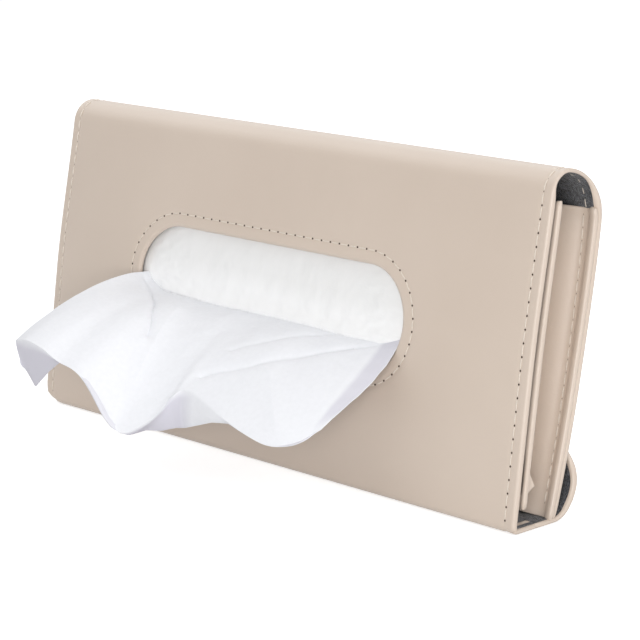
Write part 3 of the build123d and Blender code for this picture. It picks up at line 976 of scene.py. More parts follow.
def stitches(name, line, normals, seams, body=None, blend=None, hole_shade_share=1.0, thread_share=1.0):
    """Thread and needle holes along a line of points: each stitch is a bowed capsule between two holes, and
    each hole a small dark plug of painted shade.

    Its centre falls as a ** 4 towards the holes, and its radius as (1 - a ** 6) ** 0.5, at a from -1 to 1.
    """
    gaps = np.linalg.norm(np.diff(line, axis=0), axis=1)
    gone = np.concatenate([[0], np.cumsum(gaps)])
    count = max(int(round(gone[-1] / seams.pitch)), 1)
    holes = np.linspace(0, gone[-1], count + 1)
    middles = (holes[:-1] + holes[1:]) / 2

    def read(values, places):
        """Values along the line at places on it."""
        return np.stack([np.interp(places, gone, values[:, k]) for k in range(3)], -1)

    def frames(places):
        """Place, direction along, direction across and normal at places on the line."""
        step = seams.pitch * READING_STEP
        along = read(line, np.minimum(places + step, gone[-1])) - read(line, np.maximum(places - step, 0))
        along /= np.linalg.norm(along, axis=1, keepdims=True)
        up = read(normals, places)
        up -= (up * along).sum(1, keepdims=True) * along
        up /= np.linalg.norm(up, axis=1, keepdims=True)
        return read(line, places), along, np.cross(up, along), up

    a = STITCH_RINGS
    around = np.arange(STITCH_SIDES) * 2 * math.pi / STITCH_SIDES
    thread = seams.thread * thread_share
    radius = thread * np.sqrt(np.maximum(1 - np.abs(a) ** 6, STITCH_END))
    lift = thread * (STITCH_LIFT - STITCH_FALL * a ** 4)
    template = np.stack([
        np.repeat(a * seams.pitch * STITCH_HALF, STITCH_SIDES),
        np.outer(radius, np.cos(around)).ravel(),
        np.repeat(lift, STITCH_SIDES) + np.outer(radius, np.sin(around)).ravel(),
    ], -1)
    faces = tube_faces(len(a), STITCH_SIDES)
    made = [repeated(f"{name}_thread", template, faces, frames(middles), "Thread")]

    around = np.arange(HOLE_SIDES) * 2 * math.pi / HOLE_SIDES
    template = np.concatenate([
        np.stack([r * np.cos(around), r * np.sin(around), np.full(HOLE_SIDES, h)], -1) * seams.hole
        for r, h in HOLE_SHAPE
    ])
    faces = tube_faces(len(HOLE_SHAPE), HOLE_SIDES)
    sizes = np.interp(holes, gone, np.broadcast_to(hole_shade_share, len(gone)))
    made.append(repeated(f"{name}_holes", template, faces, frames(holes), "NeedleHoleShade", sizes))
    for part in made:
        if blend:
            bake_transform(part)
        else:
            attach(part, body)


def smoothed(line):
    """A line of points averaged over their neighbours, with its ends kept."""
    padded = np.concatenate([np.repeat(line[:1], SMOOTHED, 0), line, np.repeat(line[-1:], SMOOTHED, 0)])
    sums = np.cumsum(np.concatenate([np.zeros((1, 3)), padded]), 0)
    span = 2 * SMOOTHED + 1
    return (sums[span:] - sums[:-span]) / span


def repeated(name, template, faces, frames, material, sizes=None):
    """One mesh with the template at every frame (place, along, across and up), at its own size."""
    place, along, across, up = frames
    sizes = np.ones(len(place)) if sizes is None else sizes
    shape = template[None] * sizes[:, None, None]
    points = (place[:, None] + shape[..., :1] * along[:, None]
              + shape[..., 1:2] * across[:, None] + shape[..., 2:] * up[:, None])
    count = len(template)
    all_faces = [[k + index * count for k in face] for index in range(len(place)) for face in faces]
    return add_mesh(name, points.reshape(-1, 3), all_faces, material)


def seam_on(settings, outline, x, distance, depth, rise):
    """Points and outward normals for a seam on a panel."""
    line = cover_points(settings, outline, x, distance, depth, rise)
    deeper = cover_points(settings, outline, x, distance, depth + PROBE, rise)
    return line, (line - deeper) / np.linalg.norm(line - deeper, axis=1, keepdims=True)


class TISSUEHOLDER_OT_seams(bpy.types.Operator):
    """Sew the side edges, the opening and the gussets; the strap tabs are sewn with the straps"""

    bl_idname = "tissueholder.seams"
    bl_label = "Seams"

    def execute(self, context):
        settings = context.scene.tissue_holder
        cover, opening, seams = settings.cover, settings.opening, settings.seams
        upper, lower = upper_outline(cover), lower_outline(cover)
        line_x = cover.width / 2 - seams.inset
        for side, name in ((1, "right"), (-1, "left")):
            crown = ("back", "front", *crown_blend(cover))
            distance = np.linspace(EDGE_START, upper.length - EDGE_END, EDGE_READINGS)
            x = np.full(len(distance), side * line_x)
            line, normals = seam_on(settings, upper, x, distance, 0 * x, front_face(settings, x, distance))
            closed_place = (upper.starts[2] + upper.starts[3]) / 2 + CROWN_CLOSED_PLACE
            closed = CROWN_CLOSED * np.exp(-((distance - closed_place) / CROWN_CLOSED_REACH) ** 4)
            stitches(f"seam_edge_{name}", line, normals, seams, blend=crown,
                     hole_shade_share=HOLE_SHADES_SHOWN[name] * (1 - closed), thread_share=THREAD_SHOWN[name])

            arch = np.linspace(upper.starts[2] - ARCH_PAST, upper.starts[4] + ARCH_PAST, ARCH_READINGS)
            x = np.full(len(arch), side * line_x)
            depth = wall_at(cover, arch) + cover.felt_proud
            line, normals = seam_on(settings, upper, x, arch, depth, 0 * x)
            stitches(f"seam_arch_{name}", line, -normals, seams, blend=crown)

            run = np.linspace(lower.starts[1] + BOTTOM_SEAM_START, (lower.starts[1] + lower.starts[2]) / 2,
                              BOTTOM_SEAM_READINGS)
            x = np.full(len(run), side * line_x)
            depth = 0 * x + cover.soft_wall + cover.felt_proud
            line, normals = seam_on(settings, lower, x, run, depth, 0 * x)
            stitches(f"seam_bottom_{name}", line, -normals, seams,
                     blend=("front", "bottom", *bottom_blend(cover)), thread_share=BOTTOM_THREAD)
            self.gusset_seams(settings, side, name)
        x, height = self.stadium(opening.straight / 2, opening.radius + opening.seam).T
        distance = height + opening.centre + front_start(cover)
        line, normals = seam_on(settings, upper, x, distance, 0 * x, front_face(settings, x, distance))
        stitches("seam_opening", line, normals, seams, body="front")
        return {"FINISHED"}

    @staticmethod
    def gusset_seams(settings, side, name):
        """The seams that sew a gusset's two wings to the back and the front."""
        cover, gusset = settings.cover, settings.gusset
        levels = np.linspace(gusset.bottom + GUSSET_SEAM_START,
                             cover.height - gusset.top_gap - GUSSET_SEAM_END, GUSSET_SEAM_READINGS)
        slant = np.linspace(0, 1, len(levels)) ** 2
        row = np.arange(len(levels))
        before, after, count = GUSSET_SEAM_BAND
        for wing, share, lean in GUSSET_SEAMS:
            shares = np.linspace(share + before, share + after, count)
            points, faces, _ = gusset_sheet(settings, side, levels, shares)
            normals = point_normals(points, faces).reshape(len(levels), -1, 3)
            points = points.reshape(len(levels), -1, 3)
            column = np.round((share + lean * slant - shares[0]) / (shares[1] - shares[0])).astype(int)
            line, up = smoothed(points[row, column]), smoothed(normals[row, column])
            stitches(f"seam_gusset_{wing}_{name}", line + up * gusset.thickness / 2, up, settings.seams,
                     blend=("back", "front", *gusset_blend(cover)), hole_shade_share=GUSSET_HOLE_SHADES,
                     thread_share=GUSSET_THREAD)

    @staticmethod
    def stadium(core, radius):
        """A closed stadium as even points, anticlockwise from the lower right: its ends are half circles."""
        turn = np.linspace(-math.pi / 2, math.pi / 2, ROUND_READINGS)
        right = np.column_stack([core + radius * np.cos(turn), radius * np.sin(turn)])
        along = np.linspace(core, -core, SIDE_READINGS)[1:-1]
        top = np.column_stack([along, np.full(len(along), radius)])
        return np.concatenate([right, top, -right, -top, right[:1]])


# Refill and tissue


# How far the slit's middle lies under the opening's centre, and where its ends lie in X
SLIT_DROP = 0.0056
SLIT_ENDS = (-0.0615, 0.0625)
# How far up and down the film follows the slit's curve
SLIT_REACH = 0.012
# How far the rows in front reach round the pack's corners, and the places behind and about each corner
FRONT_PAST = 0.004
BEHIND_PLACES = 50
CORNER_PLACES = 9
# Rows from the slit to the top, closer by the slit by this power
FRONT_ROWS = 62
ROWS_POWER = 1.25
# Columns over the film's flat part, and how far that ends before the pack does
FILM_COLUMNS = 250
FILM_SIDE = 0.0015
# The pack's closed ends: how far past its length, and the share of its depth that is left there
CLOSED_PLACES = np.array([-0.0006, -0.0001, 0.0002, 0.0004, 0.0005, 0.0006])
CLOSED_SHARES = np.array([0.985, 0.95, 0.8, 0.5, 0.15, 0.05, 0.05])
# The film's puff in the opening: how far past the hole it reaches, in hole radii, and its fullness
PUFF_REACH = 1.15
PUFF_POWER = 0.7
# The lips at the slit: their reach up and down, and half the slit's length
LIP_REACH = 0.0026
LIP_HALF = 0.066
# How far past the hole the creases have faded out, in hole radii
CREASE_REACH = 1.25
# Creases: stretch in X and up, seed, waves per metre and height
SOFT_CREASES = ((1.0, 0.45), 3, 300, 0.00030)
FINE_CREASES = ((1.0, 1.0), 8, 800, 0.00007)
# The fan of gathers at both ends of the opening: stretch, seed, waves, level, depth, place and reach
FAN_STRETCH = (0.4, 1.0)
FAN_SEED = 17
FAN_WAVES = 700
FAN_LEVEL = 0.4
FAN_DEPTH = 0.0006
FAN_PLACE = 0.055
FAN_REACH = 0.011


def slit_line(x):
    """Height of the slit up the front: the tissue's root, which rises at both ends."""
    root = np.array([(rib[0], rib[1]) for rib in TISSUE_RIBS]) / 1000
    return np.interp(x, root[:, 0], root[:, 1])


def pack_section(settings, heights_above, heights_below):
    """The pack's outline in Y and Z from the slit up, over, down the back and up to the slit.

    It is a polyline whose corners are rounded by averaging it over a short stretch.
    """
    cover, refill = settings.cover, settings.refill
    top = cover.height - refill.top_gap
    wall = cover.wall + refill.back_gap
    foot, full = rear_depth(cover, np.array([refill.bottom, refill.shoulder]), wall)
    slit = settings.opening.centre - SLIT_DROP
    stops = np.array([(refill.front, slit), (refill.front, top), (full, top), (full, refill.shoulder),
                      (foot, refill.bottom), (refill.front, refill.bottom), (refill.front, slit)])
    gone = np.concatenate([[0], np.cumsum(np.linalg.norm(np.diff(stops, axis=0), axis=1))])
    behind = np.linspace(gone[1] - FRONT_PAST, gone[5] + FRONT_PAST, BEHIND_PLACES)
    place = np.concatenate([heights_above * (gone[1] - FRONT_PAST), behind[1:-1],
                            gone[5] + FRONT_PAST + heights_below * (gone[6] - gone[5] - FRONT_PAST)])
    spread = np.linspace(-refill.corner, refill.corner, CORNER_PLACES)
    room = np.clip(np.minimum(place, gone[-1] - place) / refill.corner, 0, 1)
    return np.mean([np.column_stack([np.interp(place + d * room, gone, stops[:, k]) for k in range(2)])
                    for d in spread], 0)


class TISSUEHOLDER_OT_wrapper(bpy.types.Operator):
    """Build the refill's film round the stack, slit in front for the tissue"""

    bl_idname = "tissueholder.wrapper"
    bl_label = "Refill film"

    def execute(self, context):
        settings = context.scene.tissue_holder
        refill = settings.refill
        above = np.linspace(0, 1, FRONT_ROWS) ** ROWS_POWER
        section = pack_section(settings, above, 1 - above[::-1])
        middle = (section[:, 0].min() + section[:, 0].max()) / 2
        end = refill.length / 2
        flat = np.linspace(-end + FILM_SIDE, end - FILM_SIDE, FILM_COLUMNS)
        past = np.append(CLOSED_PLACES, CLOSED_PLACES[-1] + refill.fin)
        columns = np.concatenate([-end - past[::-1], flat, end + past])
        closed = np.concatenate([CLOSED_SHARES[::-1], np.ones(len(flat)), CLOSED_SHARES])
        x, y = np.meshgrid(columns, section[:, 0])
        height = np.broadcast_to(section[:, 1:], x.shape).copy()
        row = np.arange(len(section))[:, None]
        front = (row < len(above)) | (row >= len(section) - len(above))
        slit = settings.opening.centre - SLIT_DROP
        shift = slit_line(np.clip(x, *SLIT_ENDS)) - slit
        near = np.exp(-((height - slit) / SLIT_REACH) ** 2)
        height += np.where(front, shift * near, 0.0)
        y = film_face(settings, x, y, height, front)
        y = middle + (y - middle) * closed
        points = stood(settings.cover, np.column_stack([x.ravel(), y.ravel(), height.ravel()]))
        faces = quads(len(section), len(columns))
        if point_normals(points, faces)[len(columns) // 2][1] > 0:
            faces = faces[:, ::-1]
        made = add_mesh("wrapper_film", *thickened(points, faces, refill.film, rim_steps=2),
                        "Film", "wrapper")
        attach(made, "back")
        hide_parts("pack_film")
        return {"FINISHED"}


def film_face(settings, x, y, height, front):
    """The film's depth: the pack's bulge, a puff into the opening, lips at the slit and pulled creases.

    The bulge is 1 - h ** 2 over the pack's height, the puff (1 - d ** 2) ** PUFF_POWER over the distance
    from the opening's core line, and the lips are a Gaussian over the height from the slit.
    """
    opening, refill = settings.opening, settings.refill
    top, low = settings.cover.height - refill.top_gap, refill.bottom
    arch = 1 - ((height - (top + low) / 2) / ((top - low) / 2)) ** 2
    off = stadium_distance(opening, x, height - opening.centre) / opening.radius
    inside = np.clip(CREASE_REACH - off, 0, 1)
    puff = refill.puff * np.clip(1 - (off / PUFF_REACH) ** 2, 0, 1) ** PUFF_POWER
    gap = height - slit_line(x)
    lip = refill.lip * np.exp(-(gap / LIP_REACH) ** 2) * np.clip(1 - (x / LIP_HALF) ** 4, 0, 1)
    place = np.stack([x, height], -1)
    crease = sum(noise(place * stretch, seed, waves) * high
                 for stretch, seed, waves, high in (SOFT_CREASES, FINE_CREASES))
    ends = np.exp(-((np.abs(x) - FAN_PLACE) / FAN_REACH) ** 2)
    fan = np.abs(noise(place * FAN_STRETCH, FAN_SEED, FAN_WAVES)) - FAN_LEVEL
    drawn = refill.bulge * arch + puff + lip + (crease - fan * ends * FAN_DEPTH) * inside
    return np.where(front, y - drawn, y)


# Ribs of the tissue from its left edge to its right, in mm in the holder's frame: X and Z in the slit, the
# X, Y and Z of the upper face's rim, its arch upward and sideways, and where the cloth under the rim ends
TISSUE_RIBS = (
    (-62, 57.0, -60.4, -60.0, 33.8, 5.0, -0.6, (-59.2, -57.2, 25.5)),
    (-58, 53.6, -53.4, -60.8, 34.8, 5.5, 0.0, (-57.5, -52.1, 17.6)),
    (-52, 51.6, -45.4, -60.0, 33.2, 6.0, 0.0, (-46.9, -55.0, 25.1)),
    (-47, 51.2, -39.3, -58.0, 29.9, 6.5, 0.0, (-39.2, -56.4, 29.9)),
    (-42, 51.0, -32.4, -57.0, 28.3, 7.0, 0.0, (-32.2, -55.4, 28.5)),
    (-38, 51.0, -27.6, -56.0, 25.6, 7.5, 0.0, (-27.2, -54.4, 25.8)),
    (-33, 51.0, -24.0, -54.0, 20.5, 8.5, 0.0, (-23.4, -52.4, 20.7)),
    (-28, 51.0, -19.4, -52.0, 13.9, 9.5, 0.0, (-18.8, -50.4, 14.1)),
    (-23, 51.0, -15.8, -50.0, 10.4, 10.0, 0.0, (-15.2, -48.4, 10.4)),
    (-18, 51.0, -12.0, -48.0, 10.2, 9.5, 0.0, (-11.8, -47.0, 9.5)),
    (-13, 51.2, -7.0, -44.0, 14.3, 8.0, 0.0, (-9.5, -42.0, 11.3)),
    (-8, 51.3, -3.6, -41.0, 19.2, 6.0, 0.0, (-5.8, -38.0, 11.5)),
    (-3, 51.4, -1.4, -38.2, 24.6, 4.5, 0.0, (-1.7, -36.0, 13.2)),
    (3, 51.5, 1.6, -36.2, 26.6, 4.0, 0.0, (1.4, -35.0, 13.8)),
    (9, 51.5, 7.4, -36.0, 25.4, 4.5, 0.0, (6.8, -35.0, 15.6)),
    (16, 51.4, 16.0, -36.5, 22.6, 5.0, 0.0, (16.0, -36.0, 18.6)),
    (23, 51.3, 24.0, -37.0, 20.2, 5.5, 0.0, (24.0, -35.8, 20.0)),
    (31, 51.0, 33.4, -37.0, 17.6, 5.5, 0.0, (33.4, -35.4, 17.8)),
    (39, 51.0, 41.6, -36.0, 15.9, 5.5, 0.5, (41.6, -34.4, 16.2)),
    (47, 51.0, 47.6, -34.0, 16.4, 4.5, 1.0, (47.2, -32.4, 16.7)),
    (54, 51.3, 52.6, -31.0, 18.7, 3.0, 2.0, (52.0, -29.4, 19.0)),
    (62.8, 53.4, 56.5, -27.0, 23.0, 1.0, 2.4, (55.8, -25.6, 23.4)),
)
# How deep the shade on the cloth under the rim is, along the share across the tissue
UNDER_PLACES = (0, 0.14, 0.19, 0.33, 0.37, 0.60, 0.66, 1)
UNDER_SHADES = (1, 1, 0, 0, 1, 1, 0, 0)
# Creases in the upper face: points in shares across and along it, width in those shares and height in mm
TISSUE_CREASES = (
    (((0.03, 0.07), (0.067, 0.099), (0.175, 0.284), (0.279, 0.494), (0.304, 0.58)), 0.013, 1.7),
    (((0.98, 0.02), (0.892, 0.173), (0.842, 0.309), (0.738, 0.617), (0.675, 0.778), (0.63, 0.88)),
     0.012, 1.1),
    (((0.95, 0.02), (0.83, 0.06), (0.771, 0.21), (0.65, 0.605)), 0.012, 0.7),
    (((0.30, 0.30), (0.36, 0.80)), 0.05, -1.0),
    (((0.78, 0.62), (0.86, 0.90)), 0.05, -0.8),
)
# Depth of the root behind the flat front, and the way from it to where the tissue leaves the slit
TISSUE_ROOT_DEPTH = 0.002
TISSUE_EXIT = (0, -0.0025, -0.0003)
# How far the cloth under the rim bows, as a share of its length, and in which direction
UNDER_BOW = 0.06
BOW_HEADING = (-0.7, -0.7, 0)
# Crinkles: stretch in shares, seed, waves and height over the fine creases' height
CRINKLES = (((9, 2.5), 5, 2.2, 1.0), ((20, 11), 6, 2.0, 0.3))
# How fast creases come in from the slit
CREASES_IN = 6
# The right edge turned down: where it starts and over what share across, how fast it comes in from the
# slit, and where it ends and how fast it goes out there
TURNED_START = 0.945
TURNED_OVER = 0.055
TURNED_IN = 4
TURNED_END = 0.88
TURNED_OUT = 2.5
# Its shade: start, width, end along, how fast it goes out, and depth
EDGE_SHADE_START = 0.955
EDGE_SHADE_WIDTH = 0.012
EDGE_SHADE_END = 0.95
EDGE_SHADE_OUT = 6
EDGE_SHADE = 0.8
# The share beyond the rim over which the hanging cloth's shade comes in, and the inner face's shade
HANGING_IN = 0.04
INNER_SHADE = 0.6


class TISSUEHOLDER_OT_tissue(bpy.types.Operator):
    """Drape the tissue from the slit to its rim, with the cloth that hangs back under it"""

    bl_idname = "tissueholder.tissue"
    bl_label = "Tissue"

    def execute(self, context):
        settings = context.scene.tissue_holder
        tissue = settings.tissue
        points, faces, share = tissue_surface(settings)
        made = add_mesh("tissue_sheet", *thickened(points, faces, tissue.thickness), "Tissue", "paper",
                        sharp=TISSUE_SHARP)
        shade = made.data.attributes.new("shade", "FLOAT", "POINT")
        shade.data.foreach_set("value", tissue_shade(len(made.data.vertices), share))
        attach(made, "tissue")
        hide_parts("tissue")
        return {"FINISHED"}


def tissue_surface(settings):
    """The tissue's upper surface in the row frame, its faces and its (across, along) shares.

    A rib runs straight from its root to its rim, plus its arch as 4 * s * (1 - s), then falls to its end.
    Sine noise and creases, each exp(-distance / width) about its line, move it along its normals.
    """
    tissue = settings.tissue
    ribs = np.array([(*rib[:7], *rib[7]) for rib in TISSUE_RIBS], float) / 1000
    across = spline_weights(len(ribs), tissue.across + 1) @ ribs
    places = np.linspace(0, len(ribs) - 1, tissue.across + 1)
    end = np.column_stack([np.interp(places, np.arange(len(ribs)), ribs[:, k]) for k in (7, 8, 9)])
    root = np.column_stack([across[:, 0], np.full(len(across), TISSUE_ROOT_DEPTH), across[:, 1]])
    exit_place = root + TISSUE_EXIT
    rim = across[:, 2:5]
    s = np.linspace(0, 1, tissue.along + 1)[:, None, None]
    arch = 4 * s * (1 - s)
    upper = exit_place + (rim - exit_place) * s
    upper = upper + arch * (across[:, 6:7] * (1, 0, 0) + across[:, 5:6] * (0, 0, 1))
    t = np.linspace(0, 1, tissue.under + 1)[1:, None, None]
    bow = (UNDER_BOW * np.linalg.norm(end - rim, axis=1))[:, None] * BOW_HEADING
    under = rim + (end - rim) * t + 4 * t * (1 - t) * bow
    grid = np.concatenate([root[None], upper, under])
    u, v = np.meshgrid(np.linspace(0, 1, tissue.across + 1), np.arange(len(grid)) / (tissue.along + 1))
    faces = quads(*u.shape)
    points = grid.reshape(-1, 3)
    share = np.stack([u.ravel(), v.ravel()], -1)
    fade = np.clip(share[:, 1] * CREASES_IN, 0, 1)
    swell = sum(noise(share * stretch, seed, waves) * tissue.crinkle * high
                for stretch, seed, waves, high in CRINKLES)
    for line, width, rise in TISSUE_CREASES:
        swell += rise / 1000 * np.exp(-line_distance(share, np.array(line)) / width)
    points = points + point_normals(points, faces) * (swell * fade)[:, None]
    ends = np.clip(np.minimum(share[:, 1] * TURNED_IN, (TURNED_END - share[:, 1]) * TURNED_OUT), 0, 1)
    points[:, 2] -= tissue.side_fold * np.clip((share[:, 0] - TURNED_START) / TURNED_OVER, 0, 1) * ends
    points = stood(settings.cover, points)
    if point_normals(points, faces)[len(points) // 2][2] < 0:
        faces = faces[:, ::-1]
    return points, faces, share


def tissue_shade(count, share):
    """How deep the shade is: on the cloth under the rim, the turned right edge and the inner face."""
    fold = np.clip((share[:, 0] - EDGE_SHADE_START) / EDGE_SHADE_WIDTH, 0, 1)
    fold = fold * np.clip((EDGE_SHADE_END - share[:, 1]) * EDGE_SHADE_OUT, 0, 1)
    shade = np.zeros(count, np.float32)
    hanging = np.clip((share[:, 1] - 1) / HANGING_IN, 0, 1)
    hanging = hanging * np.interp(share[:, 0], UNDER_PLACES, UNDER_SHADES)
    shade[:len(share)] = np.maximum(EDGE_SHADE * fold, hanging)
    shade[len(share):2 * len(share)] = INNER_SHADE
    return shade


def line_distance(places, line):
    """Distance of places from a line of straight runs."""
    start, run = line[:-1], np.diff(line, axis=0)
    gap = places[:, None] - start
    along = np.clip((gap * run).sum(-1) / (run ** 2).sum(-1), 0, 1)
    return np.linalg.norm(gap - along[..., None] * run, axis=-1).min(1)


# Straps on the back


# Rows along a strap and round its end, and columns across it
STRAP_ROWS = 24
STRAP_END_ROWS = 14
STRAP_COLUMNS = 15
# How far round the end the last row lies, as a share
STRAP_END = 0.985
# Distances before and after a strap's hinge, past its tab, at which the back's outline is read
STRAP_BEND = (-0.001, 0.002)
# How far the box of stitches on a tab stays from its sides and ends, and its readings per side
BOX_SIDE = 0.002
BOX_END = 0.0016
BOX_READINGS = 12


class TISSUEHOLDER_OT_straps(bpy.types.Operator):
    """Build the visor straps from their tabs to their rounded ends"""

    bl_idname = "tissueholder.straps"
    bl_label = "Straps"

    def execute(self, context):
        settings = context.scene.tissue_holder
        cover, straps, seams = settings.cover, settings.straps, settings.seams
        upper = upper_outline(cover)
        top = upper.starts[4]
        half = straps.width / 2
        share = np.sin(np.linspace(0, math.pi / 2, STRAP_END_ROWS))[1:]
        rows = np.concatenate([np.linspace(straps.start, straps.end - half, STRAP_ROWS),
                               straps.end - half + half * share * STRAP_END])
        bar = np.linspace(-1, 1, STRAP_COLUMNS)
        box = spaced(np.array([(-1, 0), (1, 0), (1, 1), (-1, 1), (-1, 0)], float), [BOX_READINGS] * 4)
        for side, name in ((-1, "left"), (1, "right")):
            across, distance = grid_places(bar, rows)
            left = np.clip(distance - (straps.end - half), 0, half)
            x = side * straps.spacing / 2 + across * np.sqrt(half ** 2 - left ** 2)
            depth = np.full(len(x), -straps.seat - straps.thickness)
            points = cover_points(settings, upper, x, top + distance, depth)
            faces = quads(len(rows), len(bar))
            if point_normals(points, faces)[0][1] < 0:
                faces = faces[:, ::-1]
            made = add_mesh(f"strap_skin_{name}", *thickened(points, faces, straps.thickness),
                            "Leather", "leather")
            bend = top + straps.start + straps.tab + np.array(STRAP_BEND)
            cover_line(cover, upper, bend)
            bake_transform(made)
            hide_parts(f"strap_{name}", "strap_tabs")
            x = side * straps.spacing / 2 + box[:, 0] * (half - BOX_SIDE)
            distance = top + straps.start + BOX_END + box[:, 1] * (straps.tab - 2 * BOX_END)
            depth = 0 * x - straps.seat - straps.thickness
            line, normals = seam_on(settings, upper, x, distance, depth, 0 * x)
            stitches(f"seam_tab_{name}", line, normals, seams, body="back")
        return {"FINISHED"}


# Materials


# Heights between which the film goes from its bright lower band, a painted glare, through a greyer band of
# painted shade to its top
FILM_HEIGHTS = (0.048, 0.078)
# Colours of the boards' pulp and of the floor
PULP_DARK = (0.36, 0.28, 0.20)
PULP_LIGHT = (0.47, 0.38, 0.28)
FLOOR_DARK = (0.70, 0.70, 0.70)
FLOOR_LIGHT = (0.72, 0.72, 0.72)
# White light, with its alpha
WHITE = (1, 1, 1, 1)
# The finish of a carried CAD part, by a word of its name; the others are leather
FINISHES = (("board", "Board"), ("magnet", "Metal"), ("snap", "Metal"), ("stack", "Tissue"),
            ("tissue", "Tissue"), ("film", "Film"), ("lining", "Felt"))


def dimmed(tint, share):
    """A colour brought down to a share of its light."""
    return tuple(part * share for part in tint)


class Shader:
    """A node material being put together."""

    def __init__(self, name):
        self.material = bpy.data.materials.new(name)
        self.material.use_nodes = True
        self.nodes, self.links = self.material.node_tree.nodes, self.material.node_tree.links
        self.surface = self.nodes["Principled BSDF"]
        self.place = self.nodes.new("ShaderNodeTexCoord").outputs["Object"]

    def texture(self, kind, source=None, **inputs):
        """A texture node on object coordinates or a source."""
        node = self.nodes.new(kind)
        self.links.new(source or self.place, node.inputs["Vector"])
        for name, value in inputs.items():
            node.inputs[name].default_value = value
        return node

    def stretched(self, scale):
        """Object coordinates scaled by axis."""
        node = self.nodes.new("ShaderNodeMapping")
        node.inputs["Scale"].default_value = scale
        self.links.new(self.place, node.inputs["Vector"])
        return node.outputs["Vector"]

    def ramp(self, source, stops):
        """A colour ramp over a value."""
        node = self.nodes.new("ShaderNodeValToRGB")
        self.links.new(source, node.inputs["Fac"])
        elements = node.color_ramp.elements
        for position, _ in stops[1:-1]:
            elements.new(position)
        for element, (position, value) in zip(elements, stops):
            element.position = position
            element.color = (*value, 1)
        return node.outputs["Color"]

    def mixed(self, name, source, other):
        """A colour mixed with another one by the object's attribute of that name."""
        share = self.nodes.new("ShaderNodeAttribute")
        share.attribute_name = name
        mix = self.nodes.new("ShaderNodeMixRGB")
        self.links.new(share.outputs["Fac"], mix.inputs["Fac"])
        self.links.new(source, mix.inputs["Color1"])
        mix.inputs["Color2"].default_value = (*other, 1)
        return mix.outputs["Color"]

    def over_height(self, low, high, source, weight):
        """0 to 1 between two heights, with a weighted noise about its middle."""
        split = self.nodes.new("ShaderNodeSeparateXYZ")
        self.links.new(self.place, split.inputs[0])
        share = self.nodes.new("ShaderNodeMapRange")
        self.links.new(split.outputs["Z"], share.inputs["Value"])
        share.inputs["From Min"].default_value = low
        share.inputs["From Max"].default_value = high
        mixed = self.nodes.new("ShaderNodeMath")
        mixed.operation = "MULTIPLY_ADD"
        self.links.new(source, mixed.inputs[0])
        mixed.inputs[1].default_value = weight
        self.links.new(share.outputs["Result"], mixed.inputs[2])
        centred = self.nodes.new("ShaderNodeMath")
        centred.operation = "SUBTRACT"
        self.links.new(mixed.outputs[0], centred.inputs[0])
        centred.inputs[1].default_value = weight / 2
        return centred.outputs[0]

    def bump(self, source, strength, distance, under=None):
        """A bump from a height, on another bump."""
        node = self.nodes.new("ShaderNodeBump")
        node.inputs["Strength"].default_value = strength
        node.inputs["Distance"].default_value = distance
        self.links.new(source, node.inputs["Height"])
        if under is not None:
            self.links.new(under, node.inputs["Normal"])
        return node.outputs["Normal"]

    def paint(self, source, *stops):
        """Colour the surface by a ramp over a value."""
        self.feed(self.ramp(source, stops), "Base Color")

    def feed(self, source, socket):
        """Link a value to a socket of the surface."""
        self.links.new(source, self.surface.inputs[socket])

    def set(self, **values):
        """Constants on the surface's own sockets, with spaces for underscores."""
        for name, value in values.items():
            self.surface.inputs[name.replace("_", " ")].default_value = value


